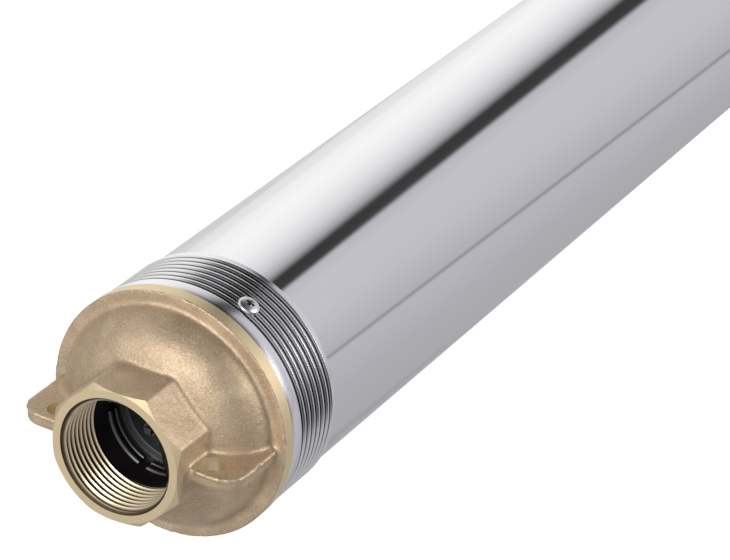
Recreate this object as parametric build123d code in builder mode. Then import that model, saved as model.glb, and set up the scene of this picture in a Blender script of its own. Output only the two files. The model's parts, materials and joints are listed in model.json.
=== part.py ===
from build123d import *
import os
from math import cos, radians, sin, sqrt, tan

# Submersible borehole pump, standing upright with its outlet at the top.
# Millimetres. The origin is the centre of the outlet's mouth and +Z points out of the outlet,
# so every depth below is measured downwards from the mouth. +X runs through the lifting lugs.

# Clearances
RUNNING = 0.4  # between a turning piece and the fixed piece round it
JOURNAL = 0.05  # radial clearance of a shaft in its bush
FIT = 0.1  # radial clearance between fixed pieces that push together
SEAT = 0.3  # gap at a seat that a sprung piece closes
SINK = 1.0  # how far an arm runs into the wall it joins

# Outlet boss of the discharge head
OUTLET_MINOR_R = 19.475  # G 1 1/4 pipe thread, minor radius
OUTLET_DEPTH = 18.8
BOSS_FLATS = 48.0
BOSS_SIDES = 8
BOSS_HEIGHT = 17.5
BOSS_DRAFT = 1.5  # degrees
BOSS_FACE_R = 24.4
BOSS_CHAMFER = 30.0  # degrees from the mouth plane
BOSS_ROOT = 1.4  # radius of the cast fillet where the boss meets the dome

# Dome, ring and spigot of the head
DOME_TOP_R = 20.0
DOME_SHOULDER_INSET = 6.2  # from the dome's foot
DOME_SHOULDER_DEPTH = 22.6
DOME_FOOT_INSET = 1.2  # from the ring's land
DOME_FOOT_DEPTH = 35.0
RING_STEP = 0.5  # how far the ring stands out past the rolled band
RING_LAND = 3.6  # width of the ring's flat face
RING_TOP_DEPTH = 33.0
RING_THICKNESS = 5.2
RING_EDGE = 0.7
SPIGOT_LENGTH = 27.8
SPIGOT_BORE_R = 30.0
SPIGOT_FLARE = 7.0

# Lifting lugs
LUG_THICKNESS = 6.6
LUG_ROOT_R = 20.5
LUG_RIM = 6.5  # from the eye to the lug's outer edge
LUG_FRONT_DEPTH = 4.5
LUG_CORNER = 6.0
LUG_EYE_R = 4.4
LUG_EYE_REACH = 29.6
LUG_EYE_DEPTH = 12.8
LUG_EDGE = 0.8

# Pump shell and its rolled ends
SHELL_R = 43.5
SHELL_WALL = 1.5
BAND_STEP = 1.0  # how far a rolled band stands out past the tube
BAND_WALL = 2.0
BAND_LENGTH = 28.3
BAND_TAPER = 1.0
SHELL_LENGTH = 500.0

# Lock screws through the rolled band
SCREW_COUNT = 3
SCREW_ANGLE = 64.9
SCREW_FROM_END = 11.1  # from the rolled tube's end
SCREW_R = 2.5
SCREW_LENGTH = 6.0
SCREW_HEAD_R = 3.85
SCREW_HEAD_HEIGHT = 2.2
HEAD_TAPER = 12.0  # degrees, on every screw head
SCREW_SPOT = 0.6
SCREW_RECESS_WIDTH = 1.1
SCREW_RECESS_LENGTH = 4.2
SCREW_RECESS_DEPTH = 1.4

# O-rings of the screwed joints
ORING_SECTION_R = 1.5
ORING_GAP = 0.05
ORING_PLAY = 0.6
ORING_FROM_END = 7.0

# Check valve under the outlet thread
POCKET_R = 23.0
CAGE_BORE_R = 19.7
CAGE_STEP_DEPTH = 34.0
CAGE_STEP_R = 17.0
CAGE_RING_DEPTH = 26.4
CAGE_RING_HEIGHT = 4.8
CAGE_RING_R = 18.4
CAGE_RING_GROOVE = 1.1
CAGE_RING_ROUND = 0.6
CAGE_LOWER_BEAD = 0.4  # the lower bead stands in this much further
CAGE_SLOTS = 5
CAGE_SLOT_ANGLE = 37.8
CAGE_SLOT_WIDTH = 3.3
CAGE_SLOT_DEPTH = 3.0
GUIDE_SPOKES = 3
GUIDE_SPOKE_ANGLE = 45.4
GUIDE_SPOKE_WIDTH = 2.4
GUIDE_HUB_R = 4.6
STEM_R = 2.6
STEM_TIP_DEPTH = 20.0
STEM_TIP_SIDE = 2.4
STEM_TIP_HEIGHT = 1.6
POPPET_R = 14.6
POPPET_THICKNESS = 4.0
POPPET_CONE = 2.6
POPPET_LAND_R = 6.6
VALVE_LIFT = 6.0
SEAL_THICKNESS = 2.0
SEAL_INNER_R = 9.0
SEAT_BORE_R = 12.0
SEAT_THICKNESS = 6.0
SEAT_LIP = 1.6
SPRING_WIRE_R = 0.45
SPRING_R = 3.6
SPRING_TURNS = 4
SPRING_PRESSED = 5.7  # room left for the spring when the valve is fully open
CLIP_THICKNESS = 1.6
CLIP_INNER_R = 20.4
CLIP_GROOVE = 1.2
CLIP_OPENING = 9.0

# Upper bearing
SPIDER_HEIGHT = 24.0
SPIDER_RIM = 3.0
SPIDER_HUB_R = 15.0
SPIDER_ARMS = 4
SPIDER_ANGLE = 45.0
SPIDER_ARM_WIDTH = 5.0
SPIDER_ARM_HEIGHT = 16.0
JOURNAL_R = 8.0
BUSH_WALL = 4.0

# Pump stages
STAGE_PITCH = 34.0
BRACKET_RISE = 40.0  # the bracket reaches at least this far up into the shell, and stages fill the rest
BOWL_WALL = 2.0
WEB = 3.0
GUIDE_PLATE = 2.0
GUIDE_GAP = 4.2  # between the guide plate's rim and the bowl's wall
RETURN_HEIGHT = 9.0
RETURN_VANES = 6
RETURN_VANE_WALL = 2.0
EYE_R = 16.0
EYE_WALL = 2.0
EYE_OVERLAP = 2.4
IMPELLER_STEP = 1.5  # the impeller is this much smaller in radius than the guide plate
IMPELLER_LIFT = 1.2  # the lower shroud runs this far above the web
SHROUD = 1.6
BLADE_HEIGHT = 12.0
BLADES = 6
BLADE_WALL = 1.8
BLADE_OUT_ANGLE = 27.0  # degrees between the blade's outer end and the rim
BLADE_IN_ANGLE = 38.0  # degrees between the blade's inner end and the eye circle
HUB_R = 9.0

# Shaft line
SHAFT_FLATS = 12.0
SHAFT_FREE_END = 2.0
COUPLING_R = 12.5
COUPLING_LENGTH = 50.0
COUPLING_EDGE = 1.0
COUPLING_RISE = 4.0  # the coupling starts this far above the windows
SHAFT_ENGAGEMENT = 23.0
MOTOR_SHAFT_R = 8.0

# Suction bracket and strainer
BRACKET_SPIGOT_WALL = 5.0
BRACKET_THROAT_HEIGHT = 18.5
WINDOW_HEIGHT = 45.0
PILLARS = 4
PILLAR_ANGLE = 45.0
PILLAR_WIDTH = 15.0
PILLAR_DEPTH = 6.1
FLANGE_THICKNESS = 12.0
STRAINER_STEP = 1.0  # the strainer lies this far inside the ring's edge
STRAINER_WALL = 0.8
STRAINER_SLOTS = 28
STRAINER_SLOT_WIDTH = 2.6
STRAINER_SLOT_LENGTH = 16.0
STRAINER_ROWS = 2
STRAINER_ROW_PITCH = 20.0
STRAINER_SCREW_R = 2.0
STRAINER_SCREW_LENGTH = 5.5
STRAINER_SCREW_HEAD_R = 3.4
STRAINER_SCREW_HEAD_HEIGHT = 1.2
STRAINER_SCREW_SLOT = 0.8

# Bolts between bracket and motor
BOLT_INSET = 9.2  # from the bracket's throat to the bolt circle
BOLT_ANGLE = 30.0
BOLT_R = 3.0
BOLT_FLATS = 10.0
BOLT_HEAD = 4.0
BOLT_INTO_COVER = 10.0

# Motor
COVER_RING = 14.0
COVER_SPIGOT_LENGTH = 27.8
COVER_FLOOR = 14.0
COVER_WALL = 5.0
COVER_NOSE = 5.0
COLLAR_R = 11.0
COLLAR_HEIGHT = 2.0
COVER_HUB_WALL = 3.0
MOTOR_SHELL_LENGTH = 314.0
SLINGER_R = 14.5
SLINGER_HEIGHT = 6.0
SLINGER_LIP = 2.0
SEAL_POCKET_R = 15.0
SEAL_RING_R = 12.5
SEAL_RING_HEIGHT = 8.0
SEAL_SEAT_HEIGHT = 6.0
MOTOR_BUSH_LENGTH = 16.0
STATOR_WALL = 17.9  # from its bore to the shell
STATOR_GAP = 28.0  # from the cover's spigot to the iron, which leaves room for the end winding
STATOR_LOW_GAP = 23.2  # from the iron to the lower bearing's housing
END_WINDING_LENGTH = 18.0
WINDING_EDGE = 3.0
WINDING_OUTER_GAP = 4.0  # from the shell's bore
WINDING_INNER_GAP = 3.0  # from the stator's bore
AIR_GAP = 0.5
ROTOR_SHAFT_R = 9.5
END_RING_INSET = 3.5  # from the rotor's skin
END_RING_LENGTH = 8.0
CAP_RING = 7.0
CAP_SPIGOT_LENGTH = 25.0
CAP_DEPTH = 42.0
CAP_WALL = 5.0
CAP_EDGE = 6.0
HOUSING_FLOOR = 10.0
HOUSING_HUB_R = 16.0
THRUST_DISC_R = 20.0
THRUST_DISC_THICKNESS = 5.0
THRUST_PADS = 6
THRUST_PAD_GAP = 3.0
THRUST_PAD_INNER_R = 10.0
THRUST_PAD_HEIGHT = 4.0
THRUST_PLATE = 4.0
THRUST_SHELF_HEIGHT = 36.0  # above the base
DIAPHRAGM_WALL = 1.5
DIAPHRAGM_RIM = 3.0
DIAPHRAGM_DEPTH = 9.0
DIAPHRAGM_LEDGE = 4.4  # from the cap's wall to the diaphragm's rim
DIAPHRAGM_FLANGE = 9.0  # width of its rim
BREATHER_R = 2.0
PLUG_R = 4.0
PLUG_SINK = 0.4
PLUG_REACH = 15.0
PLUG_SLOT = 1.2

# Cable gland, on the side away from the lugs
GLAND_INSET = 6.5  # from the bracket's throat to the gland's axis
GLAND_R = 5.0
GLAND_NUT_FLATS = 12.0
GLAND_NUT_HEIGHT = 7.0
GLAND_BORE_R = 3.0
GLAND_LENGTH = 20.0
GLAND_NOTCH_PLAY = 0.6  # round the nut's corners
LEAD_NOTCH_WIDTH = 12.6  # where the lead leaves through the strainer
LEAD_ANGLE = -90.0

# Radii that follow
band_r = SHELL_R + BAND_STEP
band_bore_r = band_r - BAND_WALL
shell_bore_r = SHELL_R - SHELL_WALL
stator_r = shell_bore_r - FIT
stator_bore_r = stator_r - STATOR_WALL
rotor_r = stator_bore_r - AIR_GAP
end_ring_r = rotor_r - END_RING_INSET
spigot_r = band_bore_r - FIT
ring_r = band_r + RING_STEP
land_r = ring_r - RING_LAND
dome_foot_r = land_r - DOME_FOOT_INSET
dome_shoulder_r = dome_foot_r - DOME_SHOULDER_INSET
lug_reach = LUG_EYE_REACH + LUG_EYE_R + LUG_RIM
bowl_r = shell_bore_r - SEAT
guide_plate_r = bowl_r - BOWL_WALL - GUIDE_GAP
impeller_r = guide_plate_r - IMPELLER_STEP
pillar_r = ring_r - STRAINER_STEP - STRAINER_WALL - FIT
throat_r = pillar_r - PILLAR_DEPTH
bolt_r = throat_r - BOLT_INSET
bolt_turn = radians(BOLT_ANGLE)
bolt_places = [(x * bolt_r * cos(bolt_turn), y * bolt_r * sin(bolt_turn)) for x in (-1, 1) for y in (-1, 1)]
gland_reach = throat_r - GLAND_INSET
gland_place = ((0, -gland_reach),)
notch_width = GLAND_NUT_FLATS / cos(radians(30)) + 2 * GLAND_NOTCH_PLAY
cap_wall_r = spigot_r - COVER_WALL
diaphragm_r = cap_wall_r - DIAPHRAGM_LEDGE
diaphragm_cup_r = diaphragm_r - DIAPHRAGM_FLANGE
bush_r = JOURNAL_R + JOURNAL + BUSH_WALL

# Levels that follow, as heights in the part's frame
ring_top = -RING_TOP_DEPTH
shell_top = ring_top - RING_THICKNESS
spigot_end = shell_top - SPIGOT_LENGTH
pocket_top = -OUTLET_DEPTH
guide_top = -CAGE_RING_DEPTH
guide_low = guide_top - CAGE_RING_HEIGHT
poppet_top = guide_low - VALVE_LIFT - SPRING_PRESSED
poppet_low = poppet_top - POPPET_THICKNESS
cage_end = poppet_low - SEAL_THICKNESS - SEAT - SEAT_LIP
seat_end = cage_end - SEAT_THICKNESS
clip_end = seat_end - CLIP_THICKNESS
stack_top = spigot_end - SPIDER_HEIGHT
shell_bottom = shell_top - SHELL_LENGTH
stages = int((stack_top - shell_bottom - BRACKET_RISE) / STAGE_PITCH)
stack_bottom = stack_top - stages * STAGE_PITCH
window_top = shell_bottom - RING_THICKNESS
window_bottom = window_top - WINDOW_HEIGHT
cover_top = window_bottom - FLANGE_THICKNESS
motor_top = cover_top - COVER_RING
cover_end = motor_top - COVER_SPIGOT_LENGTH
motor_bottom = motor_top - MOTOR_SHELL_LENGTH
cap_ring_end = motor_bottom - CAP_RING
cap_top = motor_bottom + CAP_SPIGOT_LENGTH
base = motor_bottom - CAP_DEPTH
thrust_shelf = base + THRUST_SHELF_HEIGHT
thrust_top = thrust_shelf + THRUST_PLATE + THRUST_PAD_HEIGHT
coupling_top = window_top + COUPLING_RISE
coupling_bottom = coupling_top - COUPLING_LENGTH
housing_top = cap_top + HOUSING_FLOOR
oring_groove = 2 * ORING_SECTION_R + ORING_PLAY

made = []


def keep(builder, name):
    """Label a finished piece and write its STEP file."""
    builder.part.label = name
    export_step(builder.part, f"parts/{name}.step")
    made.append(name)


def ring(outer_r, inner_r, low, high):
    """A plain ring on the Z axis, between two heights, added to the part being built."""
    with BuildSketch(Plane.XY.offset(low)) as flat:
        Circle(outer_r)
        if inner_r > 0:
            Circle(inner_r, mode=Mode.SUBTRACT)
    extrude(flat.sketch, amount=high - low)


def rod(radius, low, high, at=((0, 0),), mode=Mode.ADD):
    """A round upright rod at each of the places, between two heights."""
    with BuildSketch(Plane.XY.offset(low)) as flat:
        with Locations(*at):
            Circle(radius)
    extrude(flat.sketch, amount=high - low, mode=mode)


def bore(radius, low, high, at=((0, 0),)):
    """A round upright hole at each of the places, between two heights."""
    rod(radius, low, high, at, Mode.SUBTRACT)


def prism(flats, low, high, at=((0, 0),), mode=Mode.ADD):
    """A hexagon at each of the places, between two heights."""
    with BuildSketch(Plane.XY.offset(low)) as flat:
        with Locations(*at):
            RegularPolygon(flats / 2, 6, major_radius=False)
    extrude(flat.sketch, amount=high - low, mode=mode)


def turned(*points, mode=Mode.ADD):
    """A straight-sided profile of (radius, height) points, turned round the Z axis."""
    with BuildSketch(Plane.XZ) as profile:
        with BuildLine():
            Polyline(*points, close=True)
        make_face()
    revolve(profile.sketch, axis=Axis.Z, mode=mode)


def around(radius, height, angle):
    """A plane at a point of the cylinder wall, facing outwards, with its x direction along the wall."""
    out = Vector(cos(radians(angle)), sin(radians(angle)), 0)
    side = Vector(-sin(radians(angle)), cos(radians(angle)), 0)
    return Plane(origin=out * radius + Vector(0, 0, height), x_dir=side, z_dir=out)


def oring_cut(seat_r, middle):
    """The groove of an O-ring in a spigot."""
    half = oring_groove / 2
    turned(
        (seat_r, middle - half), (seat_r + oring_groove, middle - half),
        (seat_r + oring_groove, middle + half), (seat_r, middle + half), mode=Mode.SUBTRACT,
    )


def make_orings(name, middles):
    """Rubber rings that lie in their grooves just inside the rolled bands, one solid each."""
    with BuildPart() as orings:
        with BuildSketch(Plane.XZ):
            with Locations(*[(band_bore_r - ORING_GAP - ORING_SECTION_R, middle) for middle in middles]):
                Circle(ORING_SECTION_R)
        revolve(axis=Axis.Z)
    keep(orings, name)


def rolled_tube(top, bottom):
    """Half profile of a thin tube whose two ends are rolled out over a spigot."""
    upper = top - BAND_LENGTH
    lower = bottom + BAND_LENGTH
    return (
        (band_bore_r, top), (band_r, top), (band_r, upper), (SHELL_R, upper - BAND_TAPER),
        (SHELL_R, lower + BAND_TAPER), (band_r, lower), (band_r, bottom), (band_bore_r, bottom),
        (band_bore_r, lower), (shell_bore_r, lower + BAND_TAPER),
        (shell_bore_r, upper - BAND_TAPER), (band_bore_r, upper),
    )


def screw_planes(height):
    """The lock screws' places on the band, facing outwards."""
    return [around(0, height, SCREW_ANGLE + 360 * i / SCREW_COUNT) for i in range(SCREW_COUNT)]


def cut_screws(radius, reach_in, reach_out, height):
    """Radial round holes on the lock screws' places."""
    for place in screw_planes(height):
        with BuildSketch(place.offset(reach_in)) as hole:
            Circle(radius)
        extrude(hole.sketch, amount=reach_out - reach_in, mode=Mode.SUBTRACT)


def cut_spigot_screws(height):
    """The blind holes in a spigot that the lock screws go into."""
    cut_screws(SCREW_R + FIT, band_r - SCREW_SPOT - SCREW_LENGTH - FIT, band_r, height)


def make_lock_screws(name, heights):
    """Pan-head screws with a cross recess, three round each rolled band, one solid each."""
    seat = band_r - SCREW_SPOT
    with BuildPart() as screws:
        for place in [plane for height in heights for plane in screw_planes(height)]:
            with BuildSketch(place.offset(seat - SCREW_LENGTH)):
                Circle(SCREW_R)
            extrude(amount=SCREW_LENGTH)
            with BuildSketch(place.offset(seat)):
                Circle(SCREW_HEAD_R)
            extrude(amount=SCREW_HEAD_HEIGHT, taper=HEAD_TAPER)
            with BuildSketch(place.offset(seat + SCREW_HEAD_HEIGHT)):
                Rectangle(SCREW_RECESS_LENGTH, SCREW_RECESS_WIDTH)
                Rectangle(SCREW_RECESS_WIDTH, SCREW_RECESS_LENGTH)
            extrude(amount=-SCREW_RECESS_DEPTH, mode=Mode.SUBTRACT)
    keep(screws, name)


def make_head():
    """Cast brass head: octagonal boss, dome, ring, spigot, and two lugs with eyes."""
    lug_foot = ring_top - RING_THICKNESS / 2
    with BuildPart() as lugs:
        with BuildSketch(Plane.XZ) as outline:
            with BuildLine():
                Polyline(
                    (LUG_ROOT_R, -LUG_FRONT_DEPTH), (lug_reach, -LUG_FRONT_DEPTH),
                    (lug_reach, lug_foot), (LUG_ROOT_R, lug_foot), close=True,
                )
            make_face()
            fillet(outline.vertices().group_by(Axis.X)[-1].sort_by(Axis.Y)[-1], LUG_CORNER)
        extrude(amount=LUG_THICKNESS / 2, both=True)
        fillet(lugs.faces().filter_by(Axis.Y).edges(), LUG_EDGE)
        mirror(about=Plane.YZ)
    with BuildPart() as head:
        with BuildSketch(Plane.XZ):
            with BuildLine():
                Line((0, -BOSS_HEIGHT), (DOME_TOP_R, -BOSS_HEIGHT))
                ThreePointArc(
                    (DOME_TOP_R, -BOSS_HEIGHT),
                    (dome_shoulder_r, -DOME_SHOULDER_DEPTH),
                    (dome_foot_r, -DOME_FOOT_DEPTH),
                )
                Polyline(
                    (dome_foot_r, -DOME_FOOT_DEPTH), (land_r, ring_top), (ring_r - RING_EDGE, ring_top),
                    (ring_r, ring_top - RING_EDGE), (ring_r, shell_top), (spigot_r, shell_top),
                    (spigot_r, spigot_end), (0, spigot_end), (0, -BOSS_HEIGHT),
                )
            make_face()
        revolve(axis=Axis.Z)
        root = BOSS_HEIGHT + RING_THICKNESS
        with BuildSketch(Plane.XY.offset(-root)):
            RegularPolygon(
                BOSS_FLATS / 2 + root * tan(radians(BOSS_DRAFT)), BOSS_SIDES, major_radius=False,
                rotation=180 / BOSS_SIDES,
            )
        extrude(amount=root, taper=BOSS_DRAFT)
        boss_edges = head.edges().filter_by(lambda edge: edge.center().Z < -BOSS_HEIGHT / 2)
        fillet(boss_edges.filter_by(GeomType.BSPLINE), BOSS_ROOT)
        chamfer_reach = BOSS_FLATS / 2
        turned(
            (BOSS_FACE_R, 0), (BOSS_FACE_R + chamfer_reach, 0),
            (BOSS_FACE_R + chamfer_reach, -chamfer_reach * tan(radians(BOSS_CHAMFER))),
            mode=Mode.SUBTRACT,
        )
        add(lugs.part)
        with BuildSketch(Plane.XZ):
            with Locations((LUG_EYE_REACH, -LUG_EYE_DEPTH), (-LUG_EYE_REACH, -LUG_EYE_DEPTH)):
                Circle(LUG_EYE_R)
        extrude(amount=LUG_THICKNESS, both=True, mode=Mode.SUBTRACT)
        bore(OUTLET_MINOR_R, pocket_top, 0)
        bore(POCKET_R, clip_end, pocket_top)
        bore(POCKET_R + CLIP_GROOVE, clip_end, seat_end)
        turned(
            (0, clip_end), (POCKET_R, clip_end), (SPIGOT_BORE_R, clip_end - SPIGOT_FLARE),
            (SPIGOT_BORE_R, spigot_end), (0, spigot_end), mode=Mode.SUBTRACT,
        )
        oring_cut(spigot_r - 2 * ORING_SECTION_R, spigot_end + ORING_FROM_END)
        cut_spigot_screws(shell_top - SCREW_FROM_END)
    keep(head, "discharge_head")


def make_tube(name, top, bottom):
    """Stainless tube, rolled out at both ends over a spigot and held there by lock screws."""
    with BuildPart() as tube:
        turned(*rolled_tube(top, bottom))
        for height in (top - SCREW_FROM_END, bottom + SCREW_FROM_END):
            cut_screws(SCREW_R + FIT, shell_bore_r / 2, band_r, height)
            cut_screws(SCREW_HEAD_R + FIT, band_r - SCREW_SPOT, band_r + SCREW_SPOT, height)
    keep(tube, name)


def make_valve():
    """Spring-loaded check valve in the pocket under the outlet thread."""
    guide_mid = (guide_top + guide_low) / 2
    upper_bead, lower_bead = CAGE_RING_R, CAGE_RING_R - CAGE_LOWER_BEAD
    outer = POCKET_R - FIT
    with BuildPart() as cage:
        turned(
            (outer, pocket_top), (CAGE_BORE_R, pocket_top), (CAGE_BORE_R, guide_top),
            (upper_bead, guide_top - CAGE_RING_ROUND), (upper_bead, guide_mid + CAGE_RING_GROOVE / 2),
            (CAGE_BORE_R, guide_mid), (lower_bead, guide_mid - CAGE_RING_GROOVE / 2),
            (lower_bead, guide_low + CAGE_RING_ROUND), (CAGE_BORE_R, guide_low),
            (CAGE_BORE_R, -CAGE_STEP_DEPTH), (CAGE_STEP_R, -CAGE_STEP_DEPTH), (CAGE_STEP_R, cage_end),
            (outer, cage_end),
        )
        with BuildSketch(Plane.XY.offset(guide_low)):
            with PolarLocations((CAGE_RING_R + CAGE_BORE_R) / 2, CAGE_SLOTS, start_angle=CAGE_SLOT_ANGLE):
                Rectangle(CAGE_SLOT_DEPTH, CAGE_SLOT_WIDTH)
        extrude(amount=CAGE_RING_HEIGHT, mode=Mode.SUBTRACT)
        with BuildSketch(Plane.XY.offset(guide_low)):
            with PolarLocations((GUIDE_HUB_R + CAGE_BORE_R) / 2, GUIDE_SPOKES, GUIDE_SPOKE_ANGLE):
                Rectangle(CAGE_BORE_R - GUIDE_HUB_R + 2 * SINK, GUIDE_SPOKE_WIDTH)
            Circle(GUIDE_HUB_R)
        extrude(amount=CAGE_RING_HEIGHT)
        bore(STEM_R + JOURNAL, guide_low, guide_top)
    keep(cage, "valve_cage")

    stem_end = -STEM_TIP_DEPTH - STEM_TIP_HEIGHT
    cone = POPPET_CONE / 2
    with BuildPart() as poppet:
        turned(
            (0, poppet_low), (POPPET_R - cone, poppet_low), (POPPET_R, poppet_low + cone),
            (POPPET_R, poppet_top - cone), (POPPET_LAND_R, poppet_top), (STEM_R, poppet_top),
            (STEM_R, stem_end), (0, stem_end),
        )
        rod(SEAL_INNER_R - FIT, poppet_low - SEAL_THICKNESS - SEAT_LIP, poppet_low)
        with BuildSketch(Plane.XY.offset(stem_end)):
            Rectangle(STEM_TIP_SIDE, STEM_TIP_SIDE)
        extrude(amount=STEM_TIP_HEIGHT)
    keep(poppet, "valve_poppet")

    with BuildPart() as seal:
        ring(POPPET_R - cone, SEAL_INNER_R, poppet_low - SEAL_THICKNESS, poppet_low)
    keep(seal, "valve_seal")

    with BuildPart() as seat:
        ring(outer, SEAT_BORE_R, seat_end, cage_end)
        ring(SEAT_BORE_R + SEAT_LIP, SEAT_BORE_R, cage_end, cage_end + SEAT_LIP)
    keep(seat, "valve_seat")

    spring_low = poppet_top + SEAT + SPRING_WIRE_R
    spring_high = guide_low - SEAT - SPRING_WIRE_R
    with BuildPart() as spring:
        with BuildLine() as coil:
            Helix(
                pitch=(spring_high - spring_low) / SPRING_TURNS, height=spring_high - spring_low,
                radius=SPRING_R, center=(0, 0, spring_low),
            )
        with BuildSketch(Plane(coil.line @ 0, z_dir=coil.line % 0)):
            Circle(SPRING_WIRE_R)
        sweep()
    keep(spring, "valve_spring")

    with BuildPart() as clip:
        ring(POCKET_R + CLIP_GROOVE - FIT, CLIP_INNER_R, clip_end, seat_end)
        with BuildSketch(Plane.XY.offset(clip_end)):
            with Locations((0, -POCKET_R)):
                Rectangle(CLIP_OPENING, POCKET_R)
        extrude(amount=CLIP_THICKNESS, mode=Mode.SUBTRACT)
    keep(clip, "valve_clip")


def make_upper_bearing():
    """Bearing spider clamped between the head's spigot and the top stage, with its rubber bush."""
    rim_r = shell_bore_r - FIT
    with BuildPart() as spider:
        ring(rim_r, rim_r - SPIDER_RIM, stack_top, spigot_end)
        with BuildSketch(Plane.XY.offset(stack_top + SPIDER_HEIGHT - SPIDER_ARM_HEIGHT)):
            with PolarLocations((SPIDER_HUB_R + rim_r - SPIDER_RIM) / 2, SPIDER_ARMS, SPIDER_ANGLE):
                Rectangle(rim_r - SPIDER_RIM - SPIDER_HUB_R + 2 * SINK, SPIDER_ARM_WIDTH)
        extrude(amount=SPIDER_ARM_HEIGHT - SPIDER_RIM)
        rod(SPIDER_HUB_R, stack_top + WEB, spigot_end - SPIDER_RIM)
        bore(bush_r + FIT, stack_top, spigot_end)
    keep(spider, "bearing_spider")
    with BuildPart() as bush:
        ring(bush_r, JOURNAL_R + JOURNAL, stack_top + WEB, spigot_end - SPIDER_RIM)
    keep(bush, "upper_bearing_bush")


def vane_ring(low, height, inner_r, outer_r, wall, count):
    """Curved vanes between two radii, added to the part being built.

    Each vane is one arc with thickness. It meets the inner and the outer circle at the blade angles,
    so the arc's radius follows from the cosine rule.
    """
    cos_out = cos(radians(BLADE_OUT_ANGLE))
    curve_r = (outer_r**2 - inner_r**2) / (2 * (outer_r * cos_out - inner_r * cos(radians(BLADE_IN_ANGLE))))
    centre = Vector(sqrt(outer_r**2 + curve_r**2 - 2 * outer_r * curve_r * cos_out), 0)

    def spoke(radius):
        """Direction from the arc's centre to its point on a circle round the pump's axis."""
        along = (radius**2 - curve_r**2 + centre.X**2) / (2 * centre.X)
        return (Vector(along, sqrt(radius**2 - along**2)) - centre).normalized()

    start, end = spoke(inner_r), spoke(outer_r)
    middle = (start + end).normalized()
    near, far = curve_r - wall / 2, curve_r + wall / 2
    with BuildSketch() as vane:
        with BuildLine():
            ThreePointArc(centre + start * near, centre + middle * near, centre + end * near)
            ThreePointArc(centre + start * far, centre + middle * far, centre + end * far)
            Line(centre + start * near, centre + start * far)
            Line(centre + end * near, centre + end * far)
        make_face()
    with BuildSketch(Plane.XY.offset(low)) as vanes:
        with PolarLocations(0, count):
            add(vane.sketch)
    extrude(vanes.sketch, amount=height)


def make_stages():
    """Stage bowls with return vanes, and closed impellers with backward-curved blades."""
    eye_hole_r = EYE_R + RUNNING
    for stage in range(stages):
        floor = stack_bottom + stage * STAGE_PITCH
        top = floor + STAGE_PITCH
        plate_low = top - WEB - RETURN_HEIGHT - GUIDE_PLATE
        with BuildPart() as bowl:
            ring(bowl_r, bowl_r - BOWL_WALL, floor, top)
            ring(bowl_r - BOWL_WALL / 2, eye_hole_r, top - WEB, top)
            ring(guide_plate_r, HUB_R + RUNNING, plate_low, plate_low + GUIDE_PLATE)
            vane_ring(
                plate_low + GUIDE_PLATE / 2, RETURN_HEIGHT + GUIDE_PLATE, eye_hole_r + EYE_WALL,
                bowl_r - BOWL_WALL / 2, RETURN_VANE_WALL, RETURN_VANES,
            )
        keep(bowl, f"stage_bowl_{stage + 1:02d}")

        shroud_low = floor + IMPELLER_LIFT
        blade_low = shroud_low + SHROUD
        blade_high = blade_low + BLADE_HEIGHT
        with BuildPart() as impeller:
            ring(EYE_R, EYE_R - EYE_WALL, floor - EYE_OVERLAP, blade_low)
            ring(impeller_r, EYE_R - EYE_WALL / 2, shroud_low, blade_low)
            ring(impeller_r, HUB_R / 2, blade_high, blade_high + SHROUD)
            ring(HUB_R, HUB_R / 2, floor, top - FIT)
            vane_ring(
                shroud_low + SHROUD / 2, BLADE_HEIGHT + SHROUD, EYE_R - EYE_WALL / 2,
                impeller_r - BLADE_WALL, BLADE_WALL, BLADES,
            )
            prism(SHAFT_FLATS + FIT, floor, top, mode=Mode.SUBTRACT)
        keep(impeller, f"impeller_{stage + 1:02d}")


def make_shaft_line():
    """Hexagonal pump shaft with its bearing journal, and the coupling to the motor."""
    shaft_end = coupling_top - SHAFT_ENGAGEMENT
    with BuildPart() as shaft:
        prism(SHAFT_FLATS, shaft_end, stack_top)
        rod(JOURNAL_R, stack_top, spigot_end - SHAFT_FREE_END)
    keep(shaft, "pump_shaft")
    with BuildPart() as coupling:
        rod(COUPLING_R, coupling_bottom, coupling_top)
        chamfer(coupling.edges().filter_by(GeomType.CIRCLE), COUPLING_EDGE)
        prism(SHAFT_FLATS + FIT, shaft_end - FIT, coupling_top, mode=Mode.SUBTRACT)
        bore(MOTOR_SHAFT_R + JOURNAL, coupling_bottom, coupling_bottom + SHAFT_ENGAGEMENT)
    keep(coupling, "shaft_coupling")


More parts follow.
